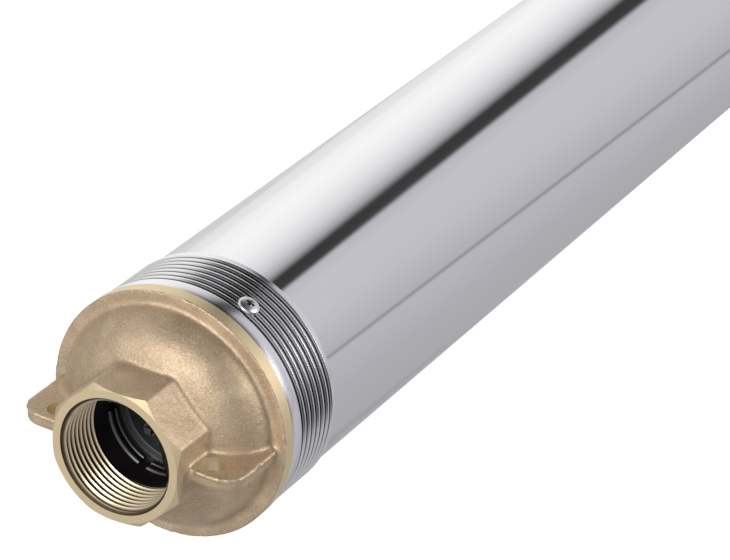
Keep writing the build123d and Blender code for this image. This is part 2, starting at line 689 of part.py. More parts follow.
def make_bracket():
    """Cast suction bracket: spigot with the first stage's eye, four pillars and the motor flange."""
    throat_top = stack_bottom - BRACKET_SPIGOT_WALL
    band_end = shell_bottom + BAND_LENGTH
    with BuildPart() as bracket:
        rod(shell_bore_r - FIT, throat_top, stack_bottom)
        turned(
            (0, throat_top), (shell_bore_r - FIT, throat_top), (shell_bore_r - FIT, band_end + BAND_TAPER),
            (spigot_r, band_end), (spigot_r, shell_bottom), (ring_r, shell_bottom), (ring_r, window_top),
            (pillar_r, window_top), (pillar_r, window_bottom), (ring_r, window_bottom), (ring_r, cover_top),
            (0, cover_top),
        )
        turned(
            (0, throat_top), (EYE_R + RUNNING, throat_top), (throat_r, throat_top - BRACKET_THROAT_HEIGHT),
            (throat_r, window_bottom), (0, window_bottom), mode=Mode.SUBTRACT,
        )
        bore(EYE_R + RUNNING, throat_top, stack_bottom)
        bore(SLINGER_R + RUNNING, cover_top, window_bottom)
        with BuildSketch(Plane.XY.offset(window_bottom)):
            Circle(ring_r)
            with PolarLocations(pillar_r, PILLARS, start_angle=PILLAR_ANGLE):
                Rectangle(pillar_r, PILLAR_WIDTH, mode=Mode.SUBTRACT)
        extrude(amount=WINDOW_HEIGHT, mode=Mode.SUBTRACT)
        bore(BOLT_R + FIT, cover_top, window_bottom, bolt_places)
        with BuildSketch(Plane.XY.offset(cover_top)):
            with Locations((0, -gland_reach - notch_width)):
                SlotOverall(3 * notch_width, notch_width, rotation=90)
        extrude(amount=FLANGE_THICKNESS, mode=Mode.SUBTRACT)
        oring_cut(spigot_r - 2 * ORING_SECTION_R, band_end - ORING_FROM_END)
        cut_spigot_screws(shell_bottom + SCREW_FROM_END)
        for i in range(PILLARS):
            place = around(pillar_r, (window_top + window_bottom) / 2, PILLAR_ANGLE + 360 * i / PILLARS)
            with BuildSketch(place):
                Circle(STRAINER_SCREW_R + FIT)
            extrude(amount=-STRAINER_SCREW_LENGTH, mode=Mode.SUBTRACT)
    keep(bracket, "suction_bracket")


def make_strainer():
    """Slotted sheet round the bracket's windows, and the screws that hold it to the pillars."""
    inner_r = pillar_r + FIT
    outer_r = inner_r + STRAINER_WALL
    middle = (window_top + window_bottom) / 2
    first_slot = middle - (STRAINER_ROWS - 1) / 2 * STRAINER_ROW_PITCH - STRAINER_SLOT_LENGTH / 2
    places = [around(0, middle, PILLAR_ANGLE + 360 * i / PILLARS) for i in range(PILLARS)]
    with BuildPart() as strainer:
        ring(outer_r, inner_r, window_bottom + FIT, window_top - FIT)
        for row in range(STRAINER_ROWS):
            with BuildSketch(Plane.XY.offset(first_slot + row * STRAINER_ROW_PITCH)):
                with PolarLocations(inner_r, STRAINER_SLOTS, start_angle=180 / STRAINER_SLOTS):
                    Rectangle(3 * STRAINER_WALL, STRAINER_SLOT_WIDTH)
            extrude(amount=STRAINER_SLOT_LENGTH, mode=Mode.SUBTRACT)
        notch_height = first_slot + STRAINER_SLOT_LENGTH - window_bottom
        with BuildSketch(around(0, window_bottom, LEAD_ANGLE)):
            SlotOverall(2 * notch_height, LEAD_NOTCH_WIDTH, rotation=90)
        extrude(amount=outer_r, mode=Mode.SUBTRACT)
        for place in places:
            with BuildSketch(place):
                Circle(STRAINER_SCREW_R + FIT)
            extrude(amount=outer_r, mode=Mode.SUBTRACT)
    keep(strainer, "suction_strainer")
    with BuildPart() as screws:
        for place in places:
            with BuildSketch(place.offset(outer_r - STRAINER_SCREW_LENGTH)):
                Circle(STRAINER_SCREW_R)
            extrude(amount=STRAINER_SCREW_LENGTH + FIT)
            with BuildSketch(place.offset(outer_r + FIT)):
                Circle(STRAINER_SCREW_HEAD_R)
            extrude(amount=STRAINER_SCREW_HEAD_HEIGHT, taper=HEAD_TAPER)
            with BuildSketch(place.offset(outer_r + FIT + STRAINER_SCREW_HEAD_HEIGHT)):
                Rectangle(2 * STRAINER_SCREW_HEAD_R, STRAINER_SCREW_SLOT)
            extrude(amount=-STRAINER_SCREW_SLOT, mode=Mode.SUBTRACT)
    keep(screws, "strainer_screws")


def make_motor_bolts():
    """Hexagon bolts that hold the motor's cover to the bracket's flange."""
    with BuildPart() as bolts:
        prism(BOLT_FLATS, window_bottom, window_bottom + BOLT_HEAD, bolt_places)
        rod(BOLT_R, cover_top - BOLT_INTO_COVER, window_bottom, bolt_places)
    keep(bolts, "motor_bolts")


def make_motor_cover():
    """Cast upper cover of the motor, with the pocket for its shaft seal and bearing."""
    floor = cover_top - COVER_FLOOR
    pocket = cover_top - COVER_NOSE
    hub_r = SEAL_POCKET_R + COVER_HUB_WALL
    with BuildPart() as cover:
        turned(
            (0, cover_top), (ring_r, cover_top), (ring_r, motor_top), (spigot_r, motor_top),
            (spigot_r, cover_end), (cap_wall_r, cover_end), (cap_wall_r, floor),
            (hub_r, floor), (hub_r, cover_end), (0, cover_end),
        )
        rod(COLLAR_R, cover_top, cover_top + COLLAR_HEIGHT)
        bore(MOTOR_SHAFT_R + RUNNING, pocket, cover_top + COLLAR_HEIGHT)
        bore(SEAL_POCKET_R, cover_end, pocket)
        bore(BOLT_R + FIT, cover_top - BOLT_INTO_COVER - FIT, cover_top, bolt_places)
        bore(GLAND_R + FIT, floor, cover_top, gland_place)
        oring_cut(spigot_r - 2 * ORING_SECTION_R, cover_end + ORING_FROM_END)
        cut_spigot_screws(motor_top - SCREW_FROM_END)
    keep(cover, "motor_cover")

    seat_low = pocket - SEAL_SEAT_HEIGHT
    ring_low = seat_low - FIT - SEAL_RING_HEIGHT
    bush_high = ring_low - RUNNING
    with BuildPart() as seal_seat:
        ring(SEAL_POCKET_R - FIT, MOTOR_SHAFT_R + RUNNING, seat_low, pocket)
    keep(seal_seat, "seal_seat")
    with BuildPart() as seal_ring:
        ring(SEAL_RING_R, MOTOR_SHAFT_R + JOURNAL, ring_low, ring_low + SEAL_RING_HEIGHT)
    keep(seal_ring, "seal_ring")
    with BuildPart() as bush:
        ring(SEAL_POCKET_R - FIT, MOTOR_SHAFT_R + JOURNAL, bush_high - MOTOR_BUSH_LENGTH, bush_high)
    keep(bush, "motor_upper_bush")

    lip = cover_top + RUNNING
    skirt_r = COLLAR_R + RUNNING
    with BuildPart() as slinger:
        turned(
            (MOTOR_SHAFT_R + JOURNAL, cover_top + COLLAR_HEIGHT + RUNNING),
            (skirt_r, cover_top + COLLAR_HEIGHT + RUNNING), (skirt_r, lip), (SLINGER_R, lip),
            (SLINGER_R, lip + SLINGER_LIP), (MOTOR_SHAFT_R + SLINGER_LIP, lip + SLINGER_HEIGHT),
            (MOTOR_SHAFT_R + JOURNAL, lip + SLINGER_HEIGHT),
        )
    keep(slinger, "sand_slinger")

    with BuildPart() as gland:
        prism(GLAND_NUT_FLATS, cover_top, cover_top + GLAND_NUT_HEIGHT, gland_place)
        rod(GLAND_R, cover_top - GLAND_LENGTH, cover_top, gland_place)
        bore(GLAND_BORE_R, cover_top - GLAND_LENGTH, cover_top + GLAND_NUT_HEIGHT, gland_place)
    keep(gland, "cable_gland")


def make_motor():
    """Wet-running motor: stator, rotor on its stepped shaft, lower bearing and thrust bearing."""
    stator_top = cover_end - STATOR_GAP
    stator_low = housing_top + STATOR_LOW_GAP
    winding_r = shell_bore_r - WINDING_OUTER_GAP
    winding_bore_r = stator_bore_r + WINDING_INNER_GAP
    winding_edge = min(WINDING_EDGE, (winding_r - winding_bore_r) / 3)
    winding_top = stator_top + END_WINDING_LENGTH
    winding_low = stator_low - END_WINDING_LENGTH
    with BuildPart() as stator:
        ring(stator_r, stator_bore_r, stator_low, stator_top)
        ring(winding_r, winding_bore_r, winding_low, winding_top)
        chamfer(stator.edges().filter_by(GeomType.CIRCLE).group_by(Axis.Z)[-1], winding_edge)
        chamfer(stator.edges().filter_by(GeomType.CIRCLE).group_by(Axis.Z)[0], winding_edge)
    keep(stator, "stator")

    with BuildPart() as core:
        ring(rotor_r, ROTOR_SHAFT_R + JOURNAL, stator_low, stator_top)
        for end in (stator_low - END_RING_LENGTH, stator_top):
            ring(end_ring_r, ROTOR_SHAFT_R + JOURNAL, end, end + END_RING_LENGTH)
    keep(core, "rotor_core")

    disc_low = thrust_top + 2 * JOURNAL
    disc_high = disc_low + THRUST_DISC_THICKNESS
    with BuildPart() as shaft:
        rod(MOTOR_SHAFT_R, disc_low, coupling_bottom + SHAFT_ENGAGEMENT - FIT)
        rod(ROTOR_SHAFT_R, stator_low - 2 * END_RING_LENGTH, stator_top + 2 * END_RING_LENGTH)
    keep(shaft, "motor_shaft")
    with BuildPart() as disc:
        ring(THRUST_DISC_R, MOTOR_SHAFT_R + JOURNAL, disc_low, disc_high)
    keep(disc, "thrust_disc")

    hub_end = disc_high + 2 * RUNNING
    with BuildPart() as housing:
        rod(shell_bore_r - FIT, cap_top, housing_top)
        rod(HOUSING_HUB_R, hub_end, housing_top)
        bore(bush_r + FIT, hub_end, housing_top)
    keep(housing, "lower_bearing_housing")
    with BuildPart() as bush:
        ring(bush_r, MOTOR_SHAFT_R + JOURNAL, hub_end, housing_top)
    keep(bush, "motor_lower_bush")

    with BuildPart() as thrust:
        ring(cap_wall_r - FIT, THRUST_PAD_INNER_R, thrust_shelf, thrust_shelf + THRUST_PLATE)
        ring(THRUST_DISC_R, THRUST_PAD_INNER_R, thrust_shelf + THRUST_PLATE, thrust_top)
        with BuildSketch(Plane.XY.offset(thrust_shelf + THRUST_PLATE)):
            with PolarLocations(THRUST_DISC_R / 2 + THRUST_PAD_INNER_R / 2, THRUST_PADS):
                Rectangle(THRUST_DISC_R, THRUST_PAD_GAP)
        extrude(amount=THRUST_PAD_HEIGHT, mode=Mode.SUBTRACT)
    keep(thrust, "thrust_bearing")


def make_cap():
    """Bottom cap of the motor, with the diaphragm that evens out the pressure, and a fill plug."""
    ledge = thrust_shelf - DIAPHRAGM_RIM
    cavity_floor = base + CAP_WALL
    plug_place = ((PLUG_REACH, 0),)
    with BuildPart() as cap:
        turned(
            (0, base), (SHELL_R, base), (SHELL_R, cap_ring_end), (ring_r, cap_ring_end),
            (ring_r, motor_bottom), (spigot_r, motor_bottom), (spigot_r, cap_top), (cap_wall_r, cap_top),
            (cap_wall_r, thrust_shelf), (diaphragm_r, thrust_shelf), (diaphragm_r, ledge),
            (diaphragm_cup_r + DIAPHRAGM_WALL, ledge), (diaphragm_cup_r + DIAPHRAGM_WALL, cavity_floor),
            (0, cavity_floor),
        )
        fillet(cap.edges().filter_by(GeomType.CIRCLE).group_by(Axis.Z)[0], CAP_EDGE)
        bore(BREATHER_R, base, cavity_floor)
        bore(PLUG_R + FIT, base, cavity_floor, plug_place)
        cut_spigot_screws(motor_bottom + SCREW_FROM_END)
    keep(cap, "motor_end_cap")

    rim_r = diaphragm_r - FIT
    cup_low = ledge - DIAPHRAGM_DEPTH
    with BuildPart() as diaphragm:
        turned(
            (0, cup_low), (diaphragm_cup_r, cup_low), (diaphragm_cup_r, ledge), (rim_r, ledge),
            (rim_r, thrust_shelf), (diaphragm_cup_r - DIAPHRAGM_WALL, thrust_shelf),
            (diaphragm_cup_r - DIAPHRAGM_WALL, cup_low + DIAPHRAGM_WALL), (0, cup_low + DIAPHRAGM_WALL),
        )
    keep(diaphragm, "diaphragm")

    with BuildPart() as plug:
        rod(PLUG_R, base + PLUG_SINK, cavity_floor, plug_place)
        with BuildSketch(Plane.XY.offset(base + PLUG_SINK)):
            with Locations(*plug_place):
                Rectangle(2 * PLUG_R, PLUG_SLOT)
        extrude(amount=PLUG_SLOT, mode=Mode.SUBTRACT)
    keep(plug, "fill_plug")


os.makedirs("parts", exist_ok=True)
make_head()
make_tube("pump_shell", shell_top, shell_bottom)
make_valve()
make_upper_bearing()
make_stages()
make_shaft_line()
make_bracket()
make_strainer()
make_motor_bolts()
make_motor_cover()
make_tube("motor_shell", motor_top, motor_bottom)
make_motor()
make_cap()
make_lock_screws("lock_screws", [
    shell_top - SCREW_FROM_END, shell_bottom + SCREW_FROM_END,
    motor_top - SCREW_FROM_END, motor_bottom + SCREW_FROM_END,
])
make_orings("joint_orings", [
    spigot_end + ORING_FROM_END, shell_bottom + BAND_LENGTH - ORING_FROM_END, cover_end + ORING_FROM_END,
])
print(len(made), "pieces")
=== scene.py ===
"""Studio scene of a submersible borehole pump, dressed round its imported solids.

The pump stands upright in the row frame: the origin is the centre of the outlet's mouth, +Z leaves the
outlet and +X runs through the two lifting lugs. Sizes in the classes are millimetres; a workpiece turns
them into metres when it is finished.
"""

import json
import logging
from collections.abc import Iterable, Sequence
from dataclasses import dataclass
from enum import Enum
from functools import cache
from math import cos, hypot, pi, radians, sin, tan

import bmesh
import bpy
from mathutils import Matrix, Vector, noise


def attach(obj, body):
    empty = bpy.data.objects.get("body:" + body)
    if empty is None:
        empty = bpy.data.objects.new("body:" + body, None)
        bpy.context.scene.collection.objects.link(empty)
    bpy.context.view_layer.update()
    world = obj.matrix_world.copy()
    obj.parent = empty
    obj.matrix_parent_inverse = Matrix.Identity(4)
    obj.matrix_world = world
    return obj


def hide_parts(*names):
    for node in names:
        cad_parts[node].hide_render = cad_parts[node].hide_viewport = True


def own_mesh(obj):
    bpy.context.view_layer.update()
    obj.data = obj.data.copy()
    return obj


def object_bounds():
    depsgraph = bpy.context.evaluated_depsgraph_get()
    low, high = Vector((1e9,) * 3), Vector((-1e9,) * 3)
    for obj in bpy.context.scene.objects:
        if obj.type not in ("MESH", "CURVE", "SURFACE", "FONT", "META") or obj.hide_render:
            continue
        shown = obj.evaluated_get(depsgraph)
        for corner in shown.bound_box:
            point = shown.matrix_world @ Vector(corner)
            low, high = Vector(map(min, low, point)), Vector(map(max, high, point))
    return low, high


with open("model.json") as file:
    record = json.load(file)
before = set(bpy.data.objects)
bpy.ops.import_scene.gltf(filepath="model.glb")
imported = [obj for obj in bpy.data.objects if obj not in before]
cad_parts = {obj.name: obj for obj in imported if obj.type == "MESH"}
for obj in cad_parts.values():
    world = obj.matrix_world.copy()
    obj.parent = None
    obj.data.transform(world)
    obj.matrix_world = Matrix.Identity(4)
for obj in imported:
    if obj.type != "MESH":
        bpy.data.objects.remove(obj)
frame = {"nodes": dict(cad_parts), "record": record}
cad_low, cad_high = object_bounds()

log = logging.getLogger("pump")

MM = 0.001
PUMP_TUBE = (-38.2, -538.2)
MOTOR_TUBE = (-614.4, -928.4)
LOCK_SCREW_HEIGHTS = (-49.3, -527.1, -625.5, -917.3)
NOISE_ROUGHNESS = 0.55
WELD_GAP = 0.0005
HOLLOW_PULL = 0.024
CAST_WAVES = ((6.0, 1.0), (1.6, 0.35))

# Socket numbers of the Map Range and Mix nodes, where names are shared
VALUE, FROM_LOW, FROM_HIGH = 0, 1, 2
SHARE, FIRST_COLOUR, SECOND_COLOUR, BLENDED_COLOUR = 0, 6, 7, 2

Point = tuple[float, float]
Colour = tuple[float, float, float]


class Body(Enum):
    """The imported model's bodies that the pieces here ride on."""

    PUMP = "pump_body"


class Slot(Enum):
    """The record's material slots."""

    BRASS = "brass"
    STEEL = "steel"
    SCREW_STEEL = "screw_steel"
    SHAFT_STEEL = "shaft_steel"
    RUBBER = "rubber"
    BLACK_PLASTIC = "black_plastic"
    STAGE_PLASTIC = "stage_plastic"
    IMPELLER_PLASTIC = "impeller_plastic"
    STATOR_RESIN = "stator_resin"
    ROTOR_IRON = "rotor_iron"
    CERAMIC = "ceramic"
    CARBON = "carbon"


class Signal:
    """A shader socket that maths can be written on."""

    def __init__(self, recipe: "Recipe", socket: bpy.types.NodeSocket) -> None:
        """Wraps one output socket of a recipe's node."""
        self.recipe = recipe
        self.socket = socket

    def maths(self, operation: str, *values: "Signal | float") -> "Signal":
        """Adds a Math node.

        Args:
            operation: The Math node's operation.
            values: Its inputs, in order.

        Returns:
            The node's result.
        """
        return self.recipe.node("ShaderNodeMath", {"operation": operation}, dict(enumerate(values)))

    def __add__(self, other: "Signal | float") -> "Signal":
        """Sum."""
        return self.maths("ADD", self, other)

    def __sub__(self, other: "Signal | float") -> "Signal":
        """Difference."""
        return self.maths("SUBTRACT", self, other)

    def __rsub__(self, other: float) -> "Signal":
        """Difference from a number."""
        return self.maths("SUBTRACT", other, self)

    def __mul__(self, other: "Signal | float") -> "Signal":
        """Product."""
        return self.maths("MULTIPLY", self, other)

    __radd__ = __add__
    __rmul__ = __mul__

    def step(self, low: float, high: float) -> "Signal":
        """A soft step that rises from 0 at low to 1 at high."""
        settings = {"interpolation_type": "SMOOTHSTEP"}
        return self.recipe.node("ShaderNodeMapRange", settings, {VALUE: self, FROM_LOW: low, FROM_HIGH: high})

    def blend(self, at_zero: Colour, at_one: Colour) -> "Signal":
        """A colour between two, by this signal."""
        return self.mix(rgba(at_zero), rgba(at_one))

    def mix(self, at_zero: "Signal | tuple", at_one: "Signal | tuple") -> "Signal":
        """A colour between two colours or colour signals, by this signal."""
        inputs = {SHARE: self, FIRST_COLOUR: at_zero, SECOND_COLOUR: at_one}
        return self.recipe.node("ShaderNodeMix", {"data_type": "RGBA"}, inputs, BLENDED_COLOUR)


def rgba(colour: Colour) -> tuple[float, float, float, float]:
    """A colour with full alpha."""
    return (*colour, 1.0)


class Recipe:
    """The node tree of one material or of the world, while it is mixed."""

    def __init__(self, owner: bpy.types.ID) -> None:
        """Empties the owner's node tree.

        Args:
            owner: A material or a world.
        """
        owner.use_nodes = True
        self.tree = owner.node_tree
        self.tree.nodes.clear()

    def node(
        self, kind: str, settings: dict | None = None, inputs: dict | None = None, output: int | str = 0,
    ) -> Signal:
        """Makes a node.

        Args:
            kind: The node's type.
            settings: Its properties, which are set first; "stops" are a colour ramp's positions and colours.
            inputs: A value or a signal for each input, by name or index.
            output: The output that is wanted.

        Returns:
            That output.
        """
        made = self.tree.nodes.new(kind)
        settings = dict(settings or {})
        stops = settings.pop("stops", ())
        for name, value in settings.items():
            setattr(made, name, value)
        if stops:
            elements = made.color_ramp.elements
            while len(elements) < len(stops):
                elements.new(1.0)
            for element, (position, colour) in zip(elements, stops):
                element.position = position
                element.color = rgba(colour)
        for name, value in (inputs or {}).items():
            if isinstance(value, Signal):
                self.tree.links.new(value.socket, made.inputs[name])
            else:
                made.inputs[name].default_value = value
        return Signal(self, made.outputs[output] if len(made.outputs) else None)

    def place(self) -> Signal:
        """The point of the surface, in metres."""
        return self.node("ShaderNodeTexCoord", output="Object")

    def part(self, vector: Signal, axis: str) -> Signal:
        """One coordinate of a vector."""
        return self.node("ShaderNodeSeparateXYZ", inputs={"Vector": vector}, output=axis)

    def stretched(self, scale: Sequence[float]) -> Signal:
        """The point of the surface, stretched along the axes."""
        return self.node("ShaderNodeMapping", inputs={"Vector": self.place(), "Scale": scale})

    def noise(self, size: float, detail: float = 2.0, where: Signal | None = None) -> Signal:
        """Cloudy noise from 0 to 1.

        Args:
            size: The size of its blotches, in millimetres.
            detail: Octaves of finer noise.
            where: The point to read it at, if not the surface's own.

        Returns:
            The noise.
        """
        inputs = {"Vector": where or self.place(), "Scale": 1 / (size * MM), "Detail": detail}
        return self.node("ShaderNodeTexNoise", inputs=inputs | {"Roughness": NOISE_ROUGHNESS})

    def radius_and_height(self) -> Signal:
        """The point's distance from the pump's axis and its height, for turning marks.

        Returns:
            The two as the X and Y of a vector.
        """
        place = self.place()
        x, y, z = (self.part(place, axis) for axis in "XYZ")
        radius = x.maths("SQRT", x * x + y * y)
        return self.node("ShaderNodeCombineXYZ", inputs={"X": radius, "Y": z})

    def bump(self, height: Signal, depth: float, strength: float = 1.0) -> Signal:
        """A normal that follows a height signal.

        Args:
            height: The height, from 0 to 1.
            depth: How deep 1 is, in millimetres.
            strength: The share of it that shows.

        Returns:
            The normal.
        """
        inputs = {"Height": height, "Distance": depth * MM, "Strength": strength}
        return self.node("ShaderNodeBump", inputs=inputs)


@dataclass(frozen=True)
class Finish:
    """What every finish has."""

    name: str
    slot: Slot
    colour: Colour
    roughness: float
    metallic: float = 0.0
    shine: float = 0.5

    def texture(self, recipe: Recipe) -> dict[str, Signal]:
        """The shader inputs that change over the surface."""
        return {}

    @cache
    def material(self) -> bpy.types.Material:
        """The finish as a material, made once.

        Returns:
            The material that every piece with this finish shares.
        """
        made = bpy.data.materials.new(self.name)
        recipe = Recipe(made)
        plain = {
            "Base Color": rgba(self.colour), "Roughness": self.roughness, "Metallic": self.metallic,
            "Specular IOR Level": self.shine,
        }
        shader = recipe.node("ShaderNodeBsdfPrincipled", inputs=plain | self.texture(recipe))
        recipe.node("ShaderNodeOutputMaterial", inputs={"Surface": shader})
        return made


@dataclass(frozen=True)
class CastBrass(Finish):
    """Sand-cast brass: even tan with fine grains and faint blotches, painted shade in the grain's pits and
    painted sparkle on its crests.
    """

    # dark paints shade in the pits of the grain's relief, and the pale speck colour paints sparkle on its
    # crests.
    dark: Colour = (0.30, 0.21, 0.13)
    pale: Colour = (0.66, 0.52, 0.36)
    painted_sparkle: Colour = (0.88, 0.76, 0.58)
    blotch: float = 9.0
    blotch_edges: Point = (0.38, 0.74)
    grain: float = 0.62
    grain_depth: float = 0.10
    coarse_grain: float = 1.612
    coarse_share: float = 0.8
    pit_shade_edges: Point = (0.47, 0.28)
    pit_shade_share: float = 0.42
    painted_sparkle_edges: Point = (0.56, 0.76)
    painted_sparkle_share: float = 0.55
    unevenness: float = 0.16

    def texture(self, recipe: Recipe) -> dict[str, Signal]:
        """Colour with painted pit shade and painted sparkle, roughness and relief of the sand's print.

        Args:
            recipe: The material that is being mixed.

        Returns:
            The shader inputs by name.
        """
        blotches = recipe.noise(self.blotch, 4)
        grains = recipe.noise(self.grain)
        coarse = recipe.noise(self.coarse_grain, 3)
        tan_tone = blotches.step(*self.blotch_edges).blend(self.colour, self.pale)
        # Painted shade: dark specks where the grain's relief is low.
        shaded = (grains.step(*self.pit_shade_edges) * self.pit_shade_share).mix(tan_tone, rgba(self.dark))
        return {
            # Painted sparkle: pale specks where the grain's relief is high.
            "Base Color": (grains.step(*self.painted_sparkle_edges) * self.painted_sparkle_share).mix(shaded, rgba(self.painted_sparkle)),
            "Roughness": coarse * self.unevenness + (self.roughness - self.unevenness / 2),
            "Normal": recipe.bump(grains + coarse * self.coarse_share, self.grain_depth),
        }


@dataclass(frozen=True)
class TurnedMetal(Finish):
    """Metal off the lathe: fine rings round the pump's axis."""

    pitch: float = 0.18
    depth: float = 0.004
    # The stain colour below is also the dark colour of painted shade in a thread's grooves; the last two
    # fields set that painted shade's radii and strength.
    stain_and_groove_shade: Colour = (0.5, 0.5, 0.5)
    staining: float = 0.15
    cloud: float = 7.0
    groove: Point = (0.0, 0.0)
    groove_shade: float = 0.9

    def texture(self, recipe: Recipe) -> dict[str, Signal]:
        """Turning marks, faint cloudy staining, and painted shade down in a thread's grooves.

        Args:
            recipe: The material that is being mixed.

        Returns:
            The shader inputs by name.
        """
        turned = recipe.radius_and_height()
        rings = recipe.noise(self.pitch, 1, turned)
        clouds = recipe.noise(self.cloud, 3)
        stain_and_shade_share = clouds * self.staining + rings * 0.06
        # Painted shade: between the groove radii the colour is pulled to the dark colour, down in the
        # thread's grooves.
        low, high = self.groove
        if high != low:
            stain_and_shade_share = stain_and_shade_share + recipe.part(turned, "X").step(low * MM, high * MM) * self.groove_shade
        return {
            "Base Color": stain_and_shade_share.blend(self.colour, self.stain_and_groove_shade),
            "Roughness": rings * 0.08 + clouds * 0.05 + (self.roughness - 0.06),
            "Normal": recipe.bump(rings, self.depth),
        }


@dataclass(frozen=True)
class PolishedTube(Finish):
    """Drawn and polished stainless: hair lines along the tube and a few faint smears."""

    line: float = 0.25
    line_stretch: float = 0.004
    line_depth: float = 0.0006
    smear: float = 45.0
    smear_stretch: float = 0.35
    smear_edges: Point = (0.35, 0.75)
    smear_tone: float = 0.96
    smear_roughness: float = 0.035
    line_roughness: float = 0.02

    def texture(self, recipe: Recipe) -> dict[str, Signal]:
        """Hair lines lengthwise and cloudy roughness.

        Args:
            recipe: The material that is being mixed.

        Returns:
            The shader inputs by name.
        """
        lines = recipe.noise(self.line, 2, recipe.stretched((1, 1, self.line_stretch)))
        smears = recipe.noise(self.smear, 3, recipe.stretched((1, 1, self.smear_stretch)))
        rough = smears.step(*self.smear_edges) * self.smear_roughness
        return {
            "Base Color": smears.blend(self.colour, tuple(self.smear_tone * c for c in self.colour)),
            "Roughness": rough + lines * self.line_roughness + self.roughness,
            "Normal": recipe.bump(lines, self.line_depth),
        }


@dataclass(frozen=True)
class Moulded(Finish):
    """Plastic, rubber, resin or carbon: a slightly uneven skin."""

    grain: float = 0.4
    depth: float = 0.01
    mottle: float = 0.12
    patch: float = 11.0
    unevenness: float = 0.12

    def texture(self, recipe: Recipe) -> dict[str, Signal]:
        """A little unevenness in colour, shine and relief.

        Args:
            recipe: The material that is being mixed.

        Returns:
            The shader inputs by name.
        """
        broad = recipe.noise(self.patch, 3)
        fine = recipe.noise(self.grain)
        darker = tuple(c * (1 - 2 * self.mottle) for c in self.colour)
        return {
            "Base Color": (broad * 0.7 + fine * 0.3).blend(darker, self.colour),
            "Roughness": broad * self.unevenness + (self.roughness - self.unevenness / 2),
            "Normal": recipe.bump(fine, self.depth),
        }


@dataclass(frozen=True)
class Laminated(Finish):
    """A pack of iron sheets, seen as fine lines across the axis."""

    sheet: float = 0.5
    sheet_stretch: float = 0.02
    sheet_edges: Point = (0.45, 0.6)
    relief: float = 0.02
    rust_size: float = 6.0
    rust: Colour = (0.16, 0.13, 0.11)

    def texture(self, recipe: Recipe) -> dict[str, Signal]:
        """Lines a sheet apart, with a little rust in the noise.

        Args:
            recipe: The material that is being mixed.

        Returns:
            The shader inputs by name.
        """
        across = recipe.stretched((self.sheet_stretch, self.sheet_stretch, 1))
        lines = recipe.noise(self.sheet, 0, across)
        rust = recipe.noise(self.rust_size, 4)
        return {
            "Base Color": (rust * 0.4 + lines.step(*self.sheet_edges) * 0.4).blend(self.colour, self.rust),
            "Roughness": rust * 0.15 + self.roughness,
            "Normal": recipe.bump(lines, self.relief),
        }


CAST_BRASS = CastBrass("cast_brass", Slot.BRASS, (0.55, 0.42, 0.285), 0.54, 0.82)
TURNED_BRASS = TurnedMetal(
    "turned_brass", Slot.BRASS, (0.84, 0.69, 0.43), 0.36, 0.9, stain_and_groove_shade=(0.66, 0.50, 0.28),
)
# Painted shade: the dark colour and groove radii darken the thread's grooves.
THREAD_BRASS = TurnedMetal(
    "thread_brass", Slot.BRASS, (0.88, 0.74, 0.50), 0.28, 0.95, stain_and_groove_shade=(0.05, 0.028, 0.014), staining=0.0,
    groove=(19.6, 20.5),
)
# Painted shade: the dark colour and groove radii darken the valleys of the rolled thread.
ROLLED_STEEL = TurnedMetal(
    "rolled_steel", Slot.STEEL, (0.91, 0.91, 0.92), 0.2, 1.0, depth=0.001, stain_and_groove_shade=(0.045, 0.045, 0.05),
    staining=0.0, groove=(44.25, 43.85),
)
# Painted shade: a dark copy of the screw steel for the inside of the screws' cross recess.
SHADED_RECESS_STEEL = TurnedMetal("recess_painted_shade", Slot.SCREW_STEEL, (0.10, 0.10, 0.11), 0.55, 1.0)
BRASS_COATS = (CAST_BRASS, TURNED_BRASS, THREAD_BRASS)
POLISHED_STEEL = PolishedTube("polished_steel", Slot.STEEL, (0.885, 0.88, 0.895), 0.055, 1.0)
PUNCHED_STEEL = TurnedMetal("punched_steel", Slot.STEEL, (0.80, 0.795, 0.80), 0.2, 1.0)
BRIGHT_STEEL = TurnedMetal("bright_steel", Slot.SCREW_STEEL, (0.86, 0.86, 0.87), 0.33, 1.0)
GROUND_STEEL = TurnedMetal("ground_steel", Slot.SHAFT_STEEL, (0.68, 0.68, 0.69), 0.25, 1.0)
RUBBER = Moulded("rubber", Slot.RUBBER, (0.022, 0.022, 0.023), 0.62)
BLACK_NYLON = Moulded(
    "black_nylon", Slot.BLACK_PLASTIC, (0.014, 0.011, 0.011), 0.25, shine=1.0, grain=1.5, depth=0.006,
)
# A lighter grey nylon for the cage's lower part, below the beads.
LOWER_GREY_NYLON = Moulded("lower_grey_nylon", Slot.BLACK_PLASTIC, (0.085, 0.09, 0.10), 0.42, shine=0.9)
FILLED_PLASTIC = Moulded("filled_plastic", Slot.STAGE_PLASTIC, (0.045, 0.045, 0.05), 0.5)
IVORY_PLASTIC = Moulded("ivory_plastic", Slot.IMPELLER_PLASTIC, (0.72, 0.68, 0.56), 0.42)
POTTING_RESIN = Moulded("potting_resin", Slot.STATOR_RESIN, (0.22, 0.055, 0.03), 0.38, grain=2.0, depth=0.05)
ROTOR_IRON = Laminated("rotor_iron", Slot.ROTOR_IRON, (0.36, 0.36, 0.37), 0.35, 1.0)
CERAMIC = Moulded("ceramic", Slot.CERAMIC, (0.82, 0.79, 0.72), 0.2, mottle=0.03)
CARBON = Moulded("carbon", Slot.CARBON, (0.035, 0.035, 0.038), 0.36)


